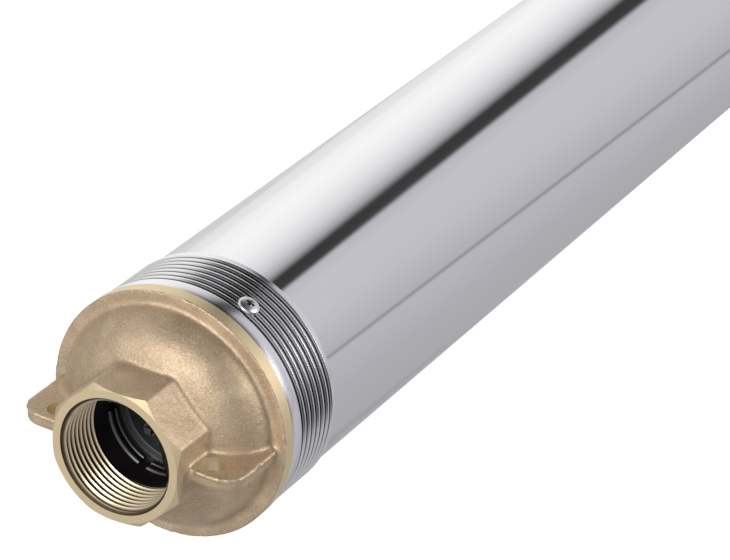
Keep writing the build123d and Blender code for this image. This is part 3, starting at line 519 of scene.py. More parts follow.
class Workpiece:
    """A mesh on the bench, in millimetres."""

    def __init__(self, name: str) -> None:
        """Starts with nothing.

        Args:
            name: What the finished piece is called.
        """
        self.name = name
        self.mesh = bmesh.new()

    def turn(
        self, profile: Sequence[Point], steps: int = 144, rise: float = 0.0, closed: bool = True,
    ) -> None:
        """Spins a profile once round the Z axis.

        Args:
            profile: (radius, height) points.
            steps: Faces round the turn.
            rise: How far the profile climbs over the turn.
            closed: Whether the last point joins the first.
        """
        corners = [self.mesh.verts.new((radius, 0, height)) for radius, height in profile]
        edges = [self.mesh.edges.new(pair) for pair in zip(corners, corners[1:])]
        if closed:
            edges.append(self.mesh.edges.new((corners[-1], corners[0])))
        bmesh.ops.spin(
            self.mesh, geom=[*corners, *edges], cent=(0, 0, 0), axis=(0, 0, 1), dvec=(0, 0, rise / steps),
            angle=2 * pi, steps=steps, use_merge=rise == 0,
        )

    def rod(
        self, radius: float, low: float, high: float, where: Matrix = Matrix(), steps: int = 64,
        tip: float | None = None,
    ) -> list:
        """A round, tapered or many-sided rod.

        Args:
            radius: Its radius at the low end.
            low: Its low end.
            high: Its high end.
            where: Turns and moves it.
            steps: Its number of sides.
            tip: Its radius at the high end, if another.

        Returns:
            Its vertices.
        """
        made = bmesh.ops.create_cone(
            self.mesh, cap_ends=True, segments=steps, radius1=radius, radius2=radius if tip is None else tip,
            depth=high - low, matrix=where @ shift(z=(low + high) / 2),
        )
        return made["verts"]

    def plate(self, outline: Sequence[Point], thickness: float, where: Matrix = Matrix()) -> list:
        """A flat plate, centred on its own XY plane.

        Args:
            outline: Its corners.
            thickness: Along its own Z.
            where: Turns and moves it.

        Returns:
            Its vertices.
        """
        corners = [self.mesh.verts.new((x, y, -thickness / 2)) for x, y in outline]
        face = self.mesh.faces.new(corners)
        grown = bmesh.ops.extrude_face_region(self.mesh, geom=[face])["geom"]
        upper = [item for item in grown if isinstance(item, bmesh.types.BMVert)]
        bmesh.ops.translate(self.mesh, vec=(0, 0, thickness), verts=upper)
        bmesh.ops.transform(self.mesh, matrix=where, verts=corners + upper)
        return corners + upper

    def round_edges(self, corners: Iterable, width: float, inner: bool = False) -> None:
        """Bevels the edges at some corners.

        Args:
            corners: The corners that they meet.
            width: The bevel's width.
            inner: Whether both ends of an edge have to be among the corners.
        """
        ends = set(corners)
        edges = {edge for corner in ends for edge in corner.link_edges}
        if inner:
            edges = {edge for edge in edges if ends >= set(edge.verts)}
        bmesh.ops.bevel(
            self.mesh, geom=list(edges), offset=width, segments=2, profile=0.5, affect="EDGES", material=-1,
            clamp_overlap=True,
        )

    def weld(self) -> None:
        """Merges doubles and points the faces outwards."""
        bmesh.ops.remove_doubles(self.mesh, verts=self.mesh.verts, dist=WELD_GAP)
        bmesh.ops.recalc_face_normals(self.mesh, faces=self.mesh.faces)

    def trim(self, height: float, keep_above: bool) -> None:
        """Cuts the piece off at a height and closes the cut.

        Args:
            height: Where the cut is.
            keep_above: Whether the upper part stays.
        """
        cut = bmesh.ops.bisect_plane(
            self.mesh, geom=[*self.mesh.verts, *self.mesh.edges, *self.mesh.faces], plane_co=(0, 0, height),
            plane_no=(0, 0, 1), clear_inner=keep_above, clear_outer=not keep_above,
        )
        rim = [item for item in cut["geom_cut"] if isinstance(item, bmesh.types.BMEdge)]
        bmesh.ops.edgeloop_fill(self.mesh, edges=rim)

    def copies(self, places: Sequence[Matrix]) -> None:
        """Puts a copy of what is on the bench at each place, and nothing elsewhere.

        Args:
            places: Turns and moves the copies.
        """
        corners = list(self.mesh.verts)
        first = [*corners, *self.mesh.edges, *self.mesh.faces]
        for place in places:
            twin = bmesh.ops.duplicate(self.mesh, geom=first)["geom"]
            moved = [item for item in twin if isinstance(item, bmesh.types.BMVert)]
            bmesh.ops.transform(self.mesh, matrix=place, verts=moved)
        bmesh.ops.delete(self.mesh, geom=corners, context="VERTS")

    def holder(self, finishes: Sequence[Finish] = ()) -> bpy.types.Object:
        """The workpiece as an object of the scene.

        Args:
            finishes: One for each material number.

        Returns:
            The object, still in the bench's unit.
        """
        data = bpy.data.meshes.new(self.name)
        self.mesh.to_mesh(data)
        for finish in finishes:
            data.materials.append(finish.material())
        made = bpy.data.objects.new(self.name, data)
        bpy.context.scene.collection.objects.link(made)
        return made

    def pass_through(self, kind: str, tool: "Workpiece | None" = None, **settings: object) -> None:
        """Runs one modifier on the workpiece and takes the result back to the bench.

        Args:
            kind: The modifier's type.
            tool: The workpiece that a Boolean modifier uses.
            settings: The modifier's settings.
        """
        held = [self.holder(BRASS_COATS)]
        modifier = held[0].modifiers.new(kind, kind)
        for name, value in settings.items():
            setattr(modifier, name, value)
        if tool:
            held.append(tool.holder(BRASS_COATS))
            modifier.object = held[1]
        shape = held[0].evaluated_get(bpy.context.evaluated_depsgraph_get())
        result = bpy.data.meshes.new_from_object(shape)
        self.mesh.clear()
        self.mesh.from_mesh(result)
        for item in held:
            bpy.data.meshes.remove(item.data)
        bpy.data.meshes.remove(result)

    def cut(self, tool: "Workpiece", coat: int = 0, crossing: bool = False) -> None:
        """Takes another workpiece's shape away.

        Args:
            tool: The cutter, which is used up.
            coat: The material number of the cut faces.
            crossing: Whether the tool's own parts cross each other.
        """
        tool.weld()
        for face in tool.mesh.faces:
            face.material_index = coat
        bmesh.ops.recalc_face_normals(tool.mesh, faces=tool.mesh.faces)
        self.pass_through("BOOLEAN", tool, operation="DIFFERENCE", solver="EXACT", use_self=crossing)
        tool.mesh.free()

    def cast(self, voxel: float, hollow_passes: int = 22, swell: float = 0.1) -> None:
        """Runs the volumes on the bench together, as a sand casting: filleted inside, softened, uneven.

        Args:
            voxel: The size of the skin's squares.
            hollow_passes: How often the inner corners are smoothed.
            swell: How far the skin waves.
        """
        bmesh.ops.recalc_face_normals(self.mesh, faces=self.mesh.faces)
        self.pass_through("REMESH", mode="VOXEL", voxel_size=voxel)
        self.smooth(self.mesh.verts, 3)
        self.mesh.normal_update()
        hollow = set()
        for corner in self.mesh.verts:
            around = [edge.other_vert(corner).co for edge in corner.link_edges]
            pull = sum(around, Vector()) / len(around) - corner.co
            if pull.dot(corner.normal) > HOLLOW_PULL * voxel:
                hollow.add(corner)
        for _ in range(3):
            hollow |= {edge.other_vert(corner) for corner in hollow for edge in corner.link_edges}
        self.smooth(hollow, hollow_passes)
        self.smooth(self.mesh.verts, 2)
        self.mesh.normal_update()
        for corner in self.mesh.verts:
            wave = sum(share * noise.noise(corner.co / size) for size, share in CAST_WAVES)
            corner.co += corner.normal * (wave * swell)

    def smooth(self, corners: Iterable, passes: int) -> None:
        """Averages corners with their neighbours.

        Args:
            corners: The corners that may move.
            passes: How many times over.
        """
        chosen = list(corners)
        for _ in range(passes):
            bmesh.ops.smooth_vert(
                self.mesh, verts=chosen, factor=0.5, use_axis_x=True, use_axis_y=True, use_axis_z=True,
            )

    def finish(
        self, body: Body, finishes: Finish | Sequence[Finish], replaces: Sequence[str] = (),
        crease: float = 32.0,
    ) -> bpy.types.Object:
        """Takes the piece off the bench: scales it to metres, dresses it and lets it ride.

        Args:
            body: The CAD body that it moves with.
            finishes: Its finish, or one for each material number.
            replaces: The CAD nodes that it stands for.
            crease: The angle in degrees above which an edge looks sharp.

        Returns:
            The finished object.
        """
        coats = [finishes] if isinstance(finishes, Finish) else list(finishes)
        self.weld()
        bmesh.ops.scale(self.mesh, vec=(MM, MM, MM), verts=self.mesh.verts)
        for face in self.mesh.faces:
            face.smooth = True
        for edge in self.mesh.edges:
            seam = len({face.material_index for face in edge.link_faces}) > 1
            edge.smooth = not seam and edge.calc_face_angle(0.0) < radians(crease)
        made = self.holder(coats)
        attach(made, body.value)
        if replaces:
            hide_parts(*replaces)
        log.info("%s: %d faces", self.name, len(self.mesh.faces))
        self.mesh.free()
        return made


def shift(x: float = 0.0, y: float = 0.0, z: float = 0.0) -> Matrix:
    """A move along the axes."""
    return Matrix.Translation((x, y, z))


def rotated(degrees: float, axis: str = "Z") -> Matrix:
    """A turn about an axis through the origin."""
    return Matrix.Rotation(radians(degrees), 4, axis)


def angles_round(count: int, first: float = 0.0) -> list[float]:
    """Evenly spread angles round the axis, in degrees."""
    return [first + 360 * i / count for i in range(count)]


def strip(start: float, end: float, width: float) -> list[Point]:
    """The corners of a straight strip along X, from start to end."""
    return [(start, -width / 2), (end, -width / 2), (end, width / 2), (start, width / 2)]


def quarter(steps: int) -> list[Point]:
    """The cosine and sine of evenly spread angles from 0 to 90 degrees."""
    return [(cos(pi / 2 * i / steps), sin(pi / 2 * i / steps)) for i in range(steps + 1)]


def draw_in(corner: bmesh.types.BMVert, share: float) -> None:
    """Moves a corner to this share of its distance from the pump's axis."""
    corner.co.x *= share
    corner.co.y *= share


def arc_through(first: Point, middle: Point, last: Point, steps: int) -> list[Point]:
    """Points on the circle through three points.

    Args:
        first: Where the arc starts.
        middle: A point that it passes.
        last: Where it ends.
        steps: Its number of chords.

    Returns:
        The points, both ends included.
    """
    a, b, c = (complex(*point) for point in (first, middle, last))
    w = (c - a) / (b - a)
    centre = (b - a) * (w - abs(w) ** 2) / (2j * w.imag) + a
    start = a - centre
    turn = (c - centre) / start
    angle = Vector((turn.real, turn.imag)).angle_signed(Vector((1, 0)))
    turns = [angle * i / steps for i in range(steps + 1)]
    points = [centre + start * complex(cos(turned), sin(turned)) for turned in turns]
    return [(point.real, point.imag) for point in points]


def upright(angle: float, radius: float = 0.0, height: float = 0.0) -> Matrix:
    """A place on a cylinder's wall whose own Z points outwards.

    Args:
        angle: Degrees round the pump's axis.
        radius: Distance from the axis.
        height: Height in the row frame.

    Returns:
        The matrix that moves a piece there.
    """
    return rotated(angle) @ shift(radius, 0, height) @ rotated(90, "Y")


@dataclass
class DischargeHead:
    """The cast brass head: octagonal boss with the outlet thread, dome, lugs, and the turned ring."""

    minor_r: float = 19.475
    major_r: float = 20.955
    pitch: float = 2.309
    thread_end: float = -18.8
    sink_r: float = 21.05
    face_r: float = 23.9
    chamfer: float = 43.0
    flats: float = 48.0
    draft: float = 1.5
    dome: tuple[Point, Point, Point] = ((20.0, -17.5), (34.0, -22.6), (40.2, -35.0))
    land: float = -33.0
    flange_r: float = 45.14
    ring_r: float = 45.0
    underside: float = -38.2
    lug_top: float = 1.6
    lug_low: float = -3.4
    lug_reach: float = 41.8
    lug_front: float = -6.2
    lug_corner: float = 8.0
    lug_foot: float = -35.0
    eye_r: float = 4.4
    eye: Point = (29.6, -12.8)
    voxel: float = 0.5
    lug_root: float = 18.0
    pocket_r: float = 23.0
    flash: float = 0.35
    flash_half: float = 0.8
    flash_start: float = 27.0
    dome_top: float = -12.0
    foot_groove: tuple[Point, ...] = ((40.3, -0.1), (41.0, -0.35), (42.0, 0.0))
    boss: Point = (2.0, -24.0)
    spare: float = 2.0
    chamfer_reach: float = 2.9
    sink_depth: float = 2.0
    thread_form: tuple[Point, ...] = (
        (0.0, 0.0), (0.07, 0.03), (0.43, 0.96), (0.5, 1.0), (0.57, 0.96), (0.93, 0.03),
    )
    spigot_profile: tuple[Point, ...] = (
        (23.0, -38.2), (42.4, -38.2), (42.4, -66.0), (30.0, -66.0), (30.0, -65.4), (23.0, -58.4),
    )

    def lug_outline(self) -> list[Point]:
        """The lug's side view.

        Returns:
            (x, z) points from the boss outwards.
        """
        x, z = self.lug_reach - self.lug_corner, self.lug_front - self.lug_corner
        bend = [(x + self.lug_corner * out, z + self.lug_corner * up) for up, out in quarter(8)]
        root, foot = self.lug_root, self.lug_foot
        return [(root, self.lug_front), *bend, (self.lug_reach, foot), (root, foot)]

    def rough_casting(self) -> Workpiece:
        """The dome, boss and lugs run together, with cast fillets and an uneven skin.

        Returns:
            The closed casting before any machining.
        """
        piece = Workpiece("head_casting")
        bow = [point for point in arc_through(*self.dome, 24) if point[1] > self.land + 0.2]
        foot = [(radius, self.land + height) for radius, height in self.foot_groove]
        crown = [(0, self.dome_top), (self.dome[0][0], self.dome_top)]
        rim, end = self.flange_r, self.underside - self.spare
        piece.turn([*crown, *bow, *foot, (rim, self.land), (rim, end), (0, end)], 160)
        piece.weld()
        top, foot = self.boss
        corner_r = self.flats / 2 / cos(pi / 8)
        slope = tan(radians(self.draft)) / cos(pi / 8)
        piece.rod(corner_r - foot * slope, foot, top, rotated(22.5), 8, corner_r - top * slope)
        for side in (0, 180):
            where = shift(y=(self.lug_top + self.lug_low) / 2) @ rotated(side) @ rotated(90, "X")
            piece.plate(self.lug_outline(), self.lug_top - self.lug_low, where)
        piece.cast(self.voxel)
        self.part_line(piece)
        return piece

    def part_line(self, piece: Workpiece) -> None:
        """Leaves the ragged flash where the mould's halves met, along the lugs' upper edges.

        Args:
            piece: The casting.
        """
        piece.mesh.normal_update()
        for corner in piece.mesh.verts:
            place, normal = corner.co, corner.normal
            below_edge = abs(place.y - self.lug_top + self.flash_half)
            on_lug = abs(place.x) > self.flash_start and place.z > self.land + 1
            outward = normal.x * (1 if place.x > 0 else -1)
            if on_lug and below_edge < self.flash_half and (outward > 0.3 or normal.z > 0.6):
                rise = self.flash * (1 + 0.9 * noise.noise(place / 1.1))
                corner.co += normal * (rise * (1 - below_edge / self.flash_half))

    def mouth_cutter(self) -> Workpiece:
        """What the lathe takes off the boss: its face and the chamfer on its corners.

        Returns:
            The cutter.
        """
        tool = Workpiece("mouth_cutter")
        far = self.face_r + self.chamfer_reach
        drop = self.chamfer_reach * tan(radians(self.chamfer))
        tool.turn([(0, 0), (self.face_r, 0), (far, -drop), (far, 6), (0, 6)], 160)
        return tool

    def thread_cutter(self) -> Workpiece:
        """A plug with the pipe thread on it, flared at the mouth.

        Returns:
            The cutter.
        """
        tool = Workpiece("thread_cutter")
        depth = self.major_r - self.minor_r
        turns = int(-self.thread_end / self.pitch) + 4
        bottom = self.thread_end - 2 * self.pitch
        profile = [
            (self.minor_r + depth * share, bottom + (turn + along) * self.pitch)
            for turn in range(turns) for along, share in self.thread_form
        ]
        tool.turn(profile, 160, rise=self.pitch, closed=False)
        tool.weld()
        tool.trim(2.0, keep_above=False)
        tool.trim(self.thread_end - 3, keep_above=True)
        for corner in tool.mesh.verts:
            wide = self.sink_r + corner.co.z
            across = hypot(corner.co.x, corner.co.y)
            if across < wide and corner.co.z > -self.sink_depth:
                draw_in(corner, wide / across)
        return tool

    def eye_cutter(self) -> Workpiece:
        """Two drills along Y, one for each lug.

        Returns:
            The cutter.
        """
        tool = Workpiece("eye_cutter")
        for side in (-1, 1):
            tool.rod(self.eye_r, -8, 8, shift(side * self.eye[0], 0, self.eye[1]) @ rotated(90, "X"), 48)
        return tool

    def pocket_cutter(self) -> Workpiece:
        """The bore below the thread, down through the casting.

        Returns:
            The cutter.
        """
        tool = Workpiece("pocket_cutter")
        tool.rod(self.pocket_r, -60, self.thread_end, steps=96)
        return tool

    def rim_cutter(self) -> Workpiece:
        """What the lathe takes off the ring's rim.

        Returns:
            The cutter.
        """
        tool = Workpiece("rim_cutter")
        far = self.ring_r + 5
        tool.turn([(self.ring_r, -28), (far, -28), (far, -44), (self.ring_r, -44)], 192)
        return tool

    def build(self) -> None:
        """Casts, machines and dresses the head, then turns its spigot."""
        casting = self.rough_casting()
        casting.trim(self.underside, keep_above=True)
        casting.cut(self.rim_cutter(), 1)
        casting.cut(self.mouth_cutter(), 1)
        casting.cut(self.thread_cutter(), 2)
        casting.cut(self.eye_cutter(), 1)
        casting.cut(self.pocket_cutter(), 1)
        casting.finish(Body.PUMP, BRASS_COATS, ("discharge_head",), 38)
        self.spigot()

    def spigot(self) -> None:
        """The turned spigot that the tube slides over."""
        piece = Workpiece("head_spigot")
        piece.turn(self.spigot_profile)
        piece.finish(Body.PUMP, TURNED_BRASS)


@dataclass
class RolledShell:
    """A stainless tube whose ends are rolled out over a spigot with a coarse thread."""

    node: str
    top: float
    bottom: float
    tube_r: float = 43.5
    band_r: float = 44.5
    bore_r: float = 42.5
    band: float = 28.3
    taper: float = 1.0
    thread_start: float = 4.9
    thread_end: float = 27.2
    pitch: float = 3.0
    depth: float = 0.85
    crest: float = 1.5
    run_out: float = 1.2
    row: float = 0.2
    edge: float = 0.35
    steps: int = 208

    def band_profile(self, end: float, inwards: float) -> list[Point]:
        """The outside of one rolled end, from its edge to the plain tube.

        Args:
            end: The height of the tube's end.
            inwards: -1 at the top, 1 at the bottom.

        Returns:
            (radius, height) points.
        """
        length, step = self.thread_end - self.thread_start, self.band_r - self.tube_r
        rows = round(length / self.row)
        soft = self.edge * 0.3
        points = [(self.band_r - self.edge, 0.0), (self.band_r - soft, soft), (self.band_r, self.edge)]
        points += [(self.band_r, self.thread_start + length * i / rows) for i in range(rows + 1)]
        points += [
            (self.tube_r + step * (0.5 + 0.5 * cos(pi * i / 8)), self.band + self.taper * i / 8)
            for i in range(9)
        ]
        return [(radius, end + inwards * away) for radius, away in points]

    def roll(self, piece: Workpiece) -> None:
        """Presses the helical thread into both bands.

        Args:
            piece: The tube.
        """
        for corner in piece.mesh.verts:
            across = hypot(corner.co.x, corner.co.y)
            if across < (self.tube_r + self.band_r) / 2:
                continue
            away = min(self.top - corner.co.z, corner.co.z - self.bottom)
            fade = min(1.0, max(0.0, min(away - self.thread_start, self.thread_end - away) / self.run_out))
            turn = Vector((corner.co.x, corner.co.y)).angle_signed(Vector((1, 0))) / (2 * pi)
            phase = 2 * pi * ((corner.co.z - self.top) / self.pitch - turn)
            press = self.depth * fade * (0.5 - 0.5 * cos(phase)) ** self.crest
            draw_in(corner, 1 - press / across)

    def build(self) -> None:
        """Makes the tube and stands it in for its CAD node."""
        piece = Workpiece(f"{self.node}_polished")
        wall = [
            *self.band_profile(self.top, -1), *reversed(self.band_profile(self.bottom, 1)),
            (self.bore_r, self.bottom), (self.bore_r, self.top),
        ]
        piece.turn(wall, self.steps)
        self.roll(piece)
        for face in piece.mesh.faces:
            middle = face.calc_center_median()
            away = min(self.top - middle.z, middle.z - self.bottom)
            face.material_index = int(away < self.band and hypot(middle.x, middle.y) > self.tube_r + 0.05)
        piece.finish(Body.PUMP, (POLISHED_STEEL, ROLLED_STEEL), (self.node,))


@dataclass
class LockScrews:
    """Pan-head screws with a cross recess that keep the rolled bands from turning."""

    heights: tuple[float, ...]
    count: int = 3
    angle: float = 64.9
    head_r: float = 3.85
    head_height: float = 2.2
    seat_r: float = 43.9
    shank_r: float = 2.5
    shank: float = 6.5
    slot_width: float = 1.05
    slot_length: float = 4.3
    slot_depth: float = 1.4

    def build(self) -> None:
        """Turns one screw, presses its cross and copies it round every band."""
        screw = Workpiece("lock_screw_set")
        crown = [(self.head_r * out, self.head_height * (0.35 + 0.65 * up)) for out, up in quarter(8)]
        shank = [(0, -self.shank), (self.shank_r, -self.shank), (self.shank_r, 0), (self.head_r, 0)]
        screw.turn([*shank, *crown], 40)
        screw.weld()
        cross = Workpiece("cross")
        half, tip = self.slot_length / 2, self.slot_length / 2 * 0.45
        slope = [(-half, 1), (half, 1), (tip, -self.slot_depth), (-tip, -self.slot_depth)]
        for turn in (0, 90):
            cross.plate(slope, self.slot_width, shift(z=self.head_height) @ rotated(turn) @ rotated(90, "X"))
        # The cross recess gets material 1, whose dark colour paints the shade inside it.
        screw.cut(cross, 1, crossing=True)
        around = angles_round(self.count, self.angle)
        screw.copies([upright(angle, self.seat_r, height) for height in self.heights for angle in around])
        screw.finish(Body.PUMP, (BRIGHT_STEEL, SHADED_RECESS_STEEL), ("lock_screws",))


@dataclass
class ValveCage:
    """The black plastic cage of the check valve: wall, two bright beads, ledge, and the stem's guide."""

    outer_r: float = 22.9
    bore_r: float = 19.7
    top: float = -18.8
    bottom: float = -50.8
    bead_top: float = -26.4
    bead_bottom: float = -31.2
    upper_r: float = 18.4
    lower_r: float = 18.0
    ledge: float = -34.0
    ledge_r: float = 17.0
    slots: int = 5
    slot_angle: float = 37.8
    slot_width: float = 3.3
    spokes: int = 3
    spoke_angle: float = 45.4
    spoke_width: float = 2.4
    hub_r: float = 4.6
    stem_r: float = 2.65
    slot_start: float = 17.0
    slope: float = 0.75

    def bead(self, radius: float, high: float, low: float) -> list[Point]:
        """A bead that stands in from the wall, with a sloping upper and lower side.

        Args:
            radius: Its inner radius.
            high: Its upper end.
            low: Its lower end.

        Returns:
            (radius, height) points.
        """
        foot, slope = self.bore_r - 0.15, self.slope
        upper = [(foot, high), (radius + slope, high - 0.15), (radius + slope / 2, high - 0.42)]
        return [*upper, (radius, high - 0.9), (radius, low + 0.7), (radius + slope, low + 0.1), (foot, low)]

    def wall(self) -> Workpiece:
        """Turns the wall with its beads and ledge.

        Returns:
            The cage before its slots and spokes.
        """
        piece = Workpiece("valve_cage_moulding")
        middle = (self.bead_top + self.bead_bottom) / 2
        bore, ledge_r, ledge = self.bore_r, self.ledge_r, self.ledge
        piece.turn(
            [
                (self.outer_r, self.top), (bore, self.top), (bore, self.bead_top + 0.4),
                *self.bead(self.upper_r, self.bead_top, middle + 0.35),
                *self.bead(self.lower_r, middle - 0.35, self.bead_bottom),
                (bore - 0.1, self.bead_bottom - 0.4), (bore - 0.1, ledge + 0.4), (bore - 0.5, ledge),
                (ledge_r + 0.3, ledge), (ledge_r, ledge - 0.3), (ledge_r, self.bottom),
                (self.outer_r, self.bottom),
            ],
            128,
        )
        return piece

    def build(self) -> None:
        """Moulds the cage."""
        piece = self.wall()
        top, bottom = self.bead_top, self.bead_bottom
        middle, height = shift(z=(top + bottom) / 2), top - bottom
        slots = Workpiece("slots")
        slot = strip(self.slot_start, self.bore_r - 0.05, self.slot_width)
        for angle in angles_round(self.slots, self.slot_angle):
            slots.plate(slot, height + 1.2, rotated(angle) @ middle)
        piece.cut(slots)
        spoke = strip(self.hub_r - 0.6, self.bore_r + 0.6, self.spoke_width)
        for angle in angles_round(self.spokes, self.spoke_angle):
            piece.round_edges(piece.plate(spoke, height, rotated(angle) @ middle), 0.3)
        hub, stem = self.hub_r, self.stem_r
        piece.turn([(stem, bottom), (hub, bottom), (hub, top - 0.4), (hub - 0.4, top), (stem, top)], 48)
        for face in piece.mesh.faces:
            # Faces below the lower bead get the lighter grey nylon.
            face.material_index = int(face.calc_center_median().z < self.bead_bottom - 0.5)
        piece.finish(Body.PUMP, (BLACK_NYLON, LOWER_GREY_NYLON), ("valve_cage",), 40)


@dataclass
class ValveSpring:
    """The coil spring above the poppet, which shortens as the valve lifts."""

    radius: float = 3.6
    wire_r: float = 0.45
    low: float = -42.15
    high: float = -31.95
    turns: int = 4
    sides: int = 12
    keep: float = 0.45

    def build(self) -> None:
        """Winds the spring and gives it a mesh of its own."""
        piece = Workpiece("valve_spring_coil")
        pitch = (self.high - self.low) / self.turns
        corners = [2 * pi * i / self.sides for i in range(self.sides)]
        for turn in range(self.turns):
            level = self.low + turn * pitch
            wire = [(self.radius + self.wire_r * cos(a), level + self.wire_r * sin(a)) for a in corners]
            piece.turn(wire, 36, rise=pitch)
        piece.weld()
        ends = [edge for edge in piece.mesh.edges if edge.is_boundary]
        bmesh.ops.holes_fill(piece.mesh, edges=ends, sides=0)
        made = piece.finish(Body.PUMP, BRIGHT_STEEL, ("valve_spring",))
        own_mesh(made)


@dataclass
class SuctionStrainer:
    """Punched sheet round the windows, with the notch for the lead and its four screws."""

    inner_r: float = 43.2
    outer_r: float = 44.0
    top: float = -543.5
    bottom: float = -588.3
    slots: int = 28
    slot_width: float = 2.6
    slot_length: float = 16.0
    rows: tuple[float, ...] = (-555.9, -575.9)
    notch_width: float = 12.6
    notch_top: float = -567.9
    notch_angle: float = 270.0
    edge: float = 0.15
    screw_angle: float = 45.0
    screws: int = 4
    screw_height: float = -565.9
    head_r: float = 3.4
    head_height: float = 1.2
    head_seat: float = 0.1
    head_slot: float = 0.8
    shank_r: float = 2.0
    shank: float = 4.5

    def slot_tool(self) -> Workpiece:
        """One round-ended punch for every slot, and the wider one for the lead.

        Returns:
            All of them as one cutter.
        """
        tool = Workpiece("slot_tool")
        step = 360 / self.slots
        for row in self.rows:
            for angle in angles_round(self.slots, step / 2):
                if row != self.rows[-1] or abs(angle - self.notch_angle) >= step:
                    self.punch(tool, angle, row, self.slot_width, self.slot_length)
        height = 2 * (self.notch_top - self.bottom)
        self.punch(tool, self.notch_angle, self.bottom, self.notch_width, height)
        return tool

    def punch(self, tool: Workpiece, angle: float, middle: float, width: float, length: float) -> None:
        """Adds a round-ended punch to the tool.

        Args:
            tool: The tool that it joins.
            angle: Where it goes in, in degrees.
            middle: The height of its middle.
            width: Across.
            length: From end to end, up and down.
        """
        straight = length / 2 - width / 2
        ends = [
            (sign * (straight + width / 2 * sin(pi * i / 6)), sign * width / 2 * cos(pi * i / 6))
            for sign in (1, -1) for i in range(7)
        ]
        tool.plate(ends, 8, upright(angle, self.outer_r, middle))

    def sheet(self) -> None:
        """Rolls and punches the sheet."""
        sheet = Workpiece("strainer_sheet")
        rim = self.outer_r - self.edge
        sheet.turn(
            [
                (self.inner_r, self.bottom), (rim, self.bottom), (self.outer_r, self.bottom + self.edge),
                (self.outer_r, self.top - self.edge), (rim, self.top), (self.inner_r, self.top),
            ],
            168,
        )
        sheet.cut(self.slot_tool())
        sheet.finish(Body.PUMP, PUNCHED_STEEL, ("suction_strainer",), 30)

    def build(self) -> None:
        """Makes the sheet and drives the screws."""
        self.sheet()
        screw = Workpiece("strainer_screw_set")
        seat, height = self.head_seat, self.head_height
        crown = [(self.head_r * out, seat + height * (0.4 + 0.6 * up)) for out, up in quarter(6)]
        shank = [(0, -self.shank), (self.shank_r, -self.shank), (self.shank_r, seat), (self.head_r, seat)]
        screw.turn([*shank, *crown], 40)
        screw.weld()
        slot = Workpiece("driver")
        slot.plate(strip(-5, 5, self.head_slot), 1.2, shift(z=height + 0.2))
        screw.cut(slot)
        around = angles_round(self.screws, self.screw_angle)
        screw.copies([upright(angle, self.outer_r, self.screw_height) for angle in around])
        screw.finish(Body.PUMP, BRIGHT_STEEL, ("strainer_screws",))


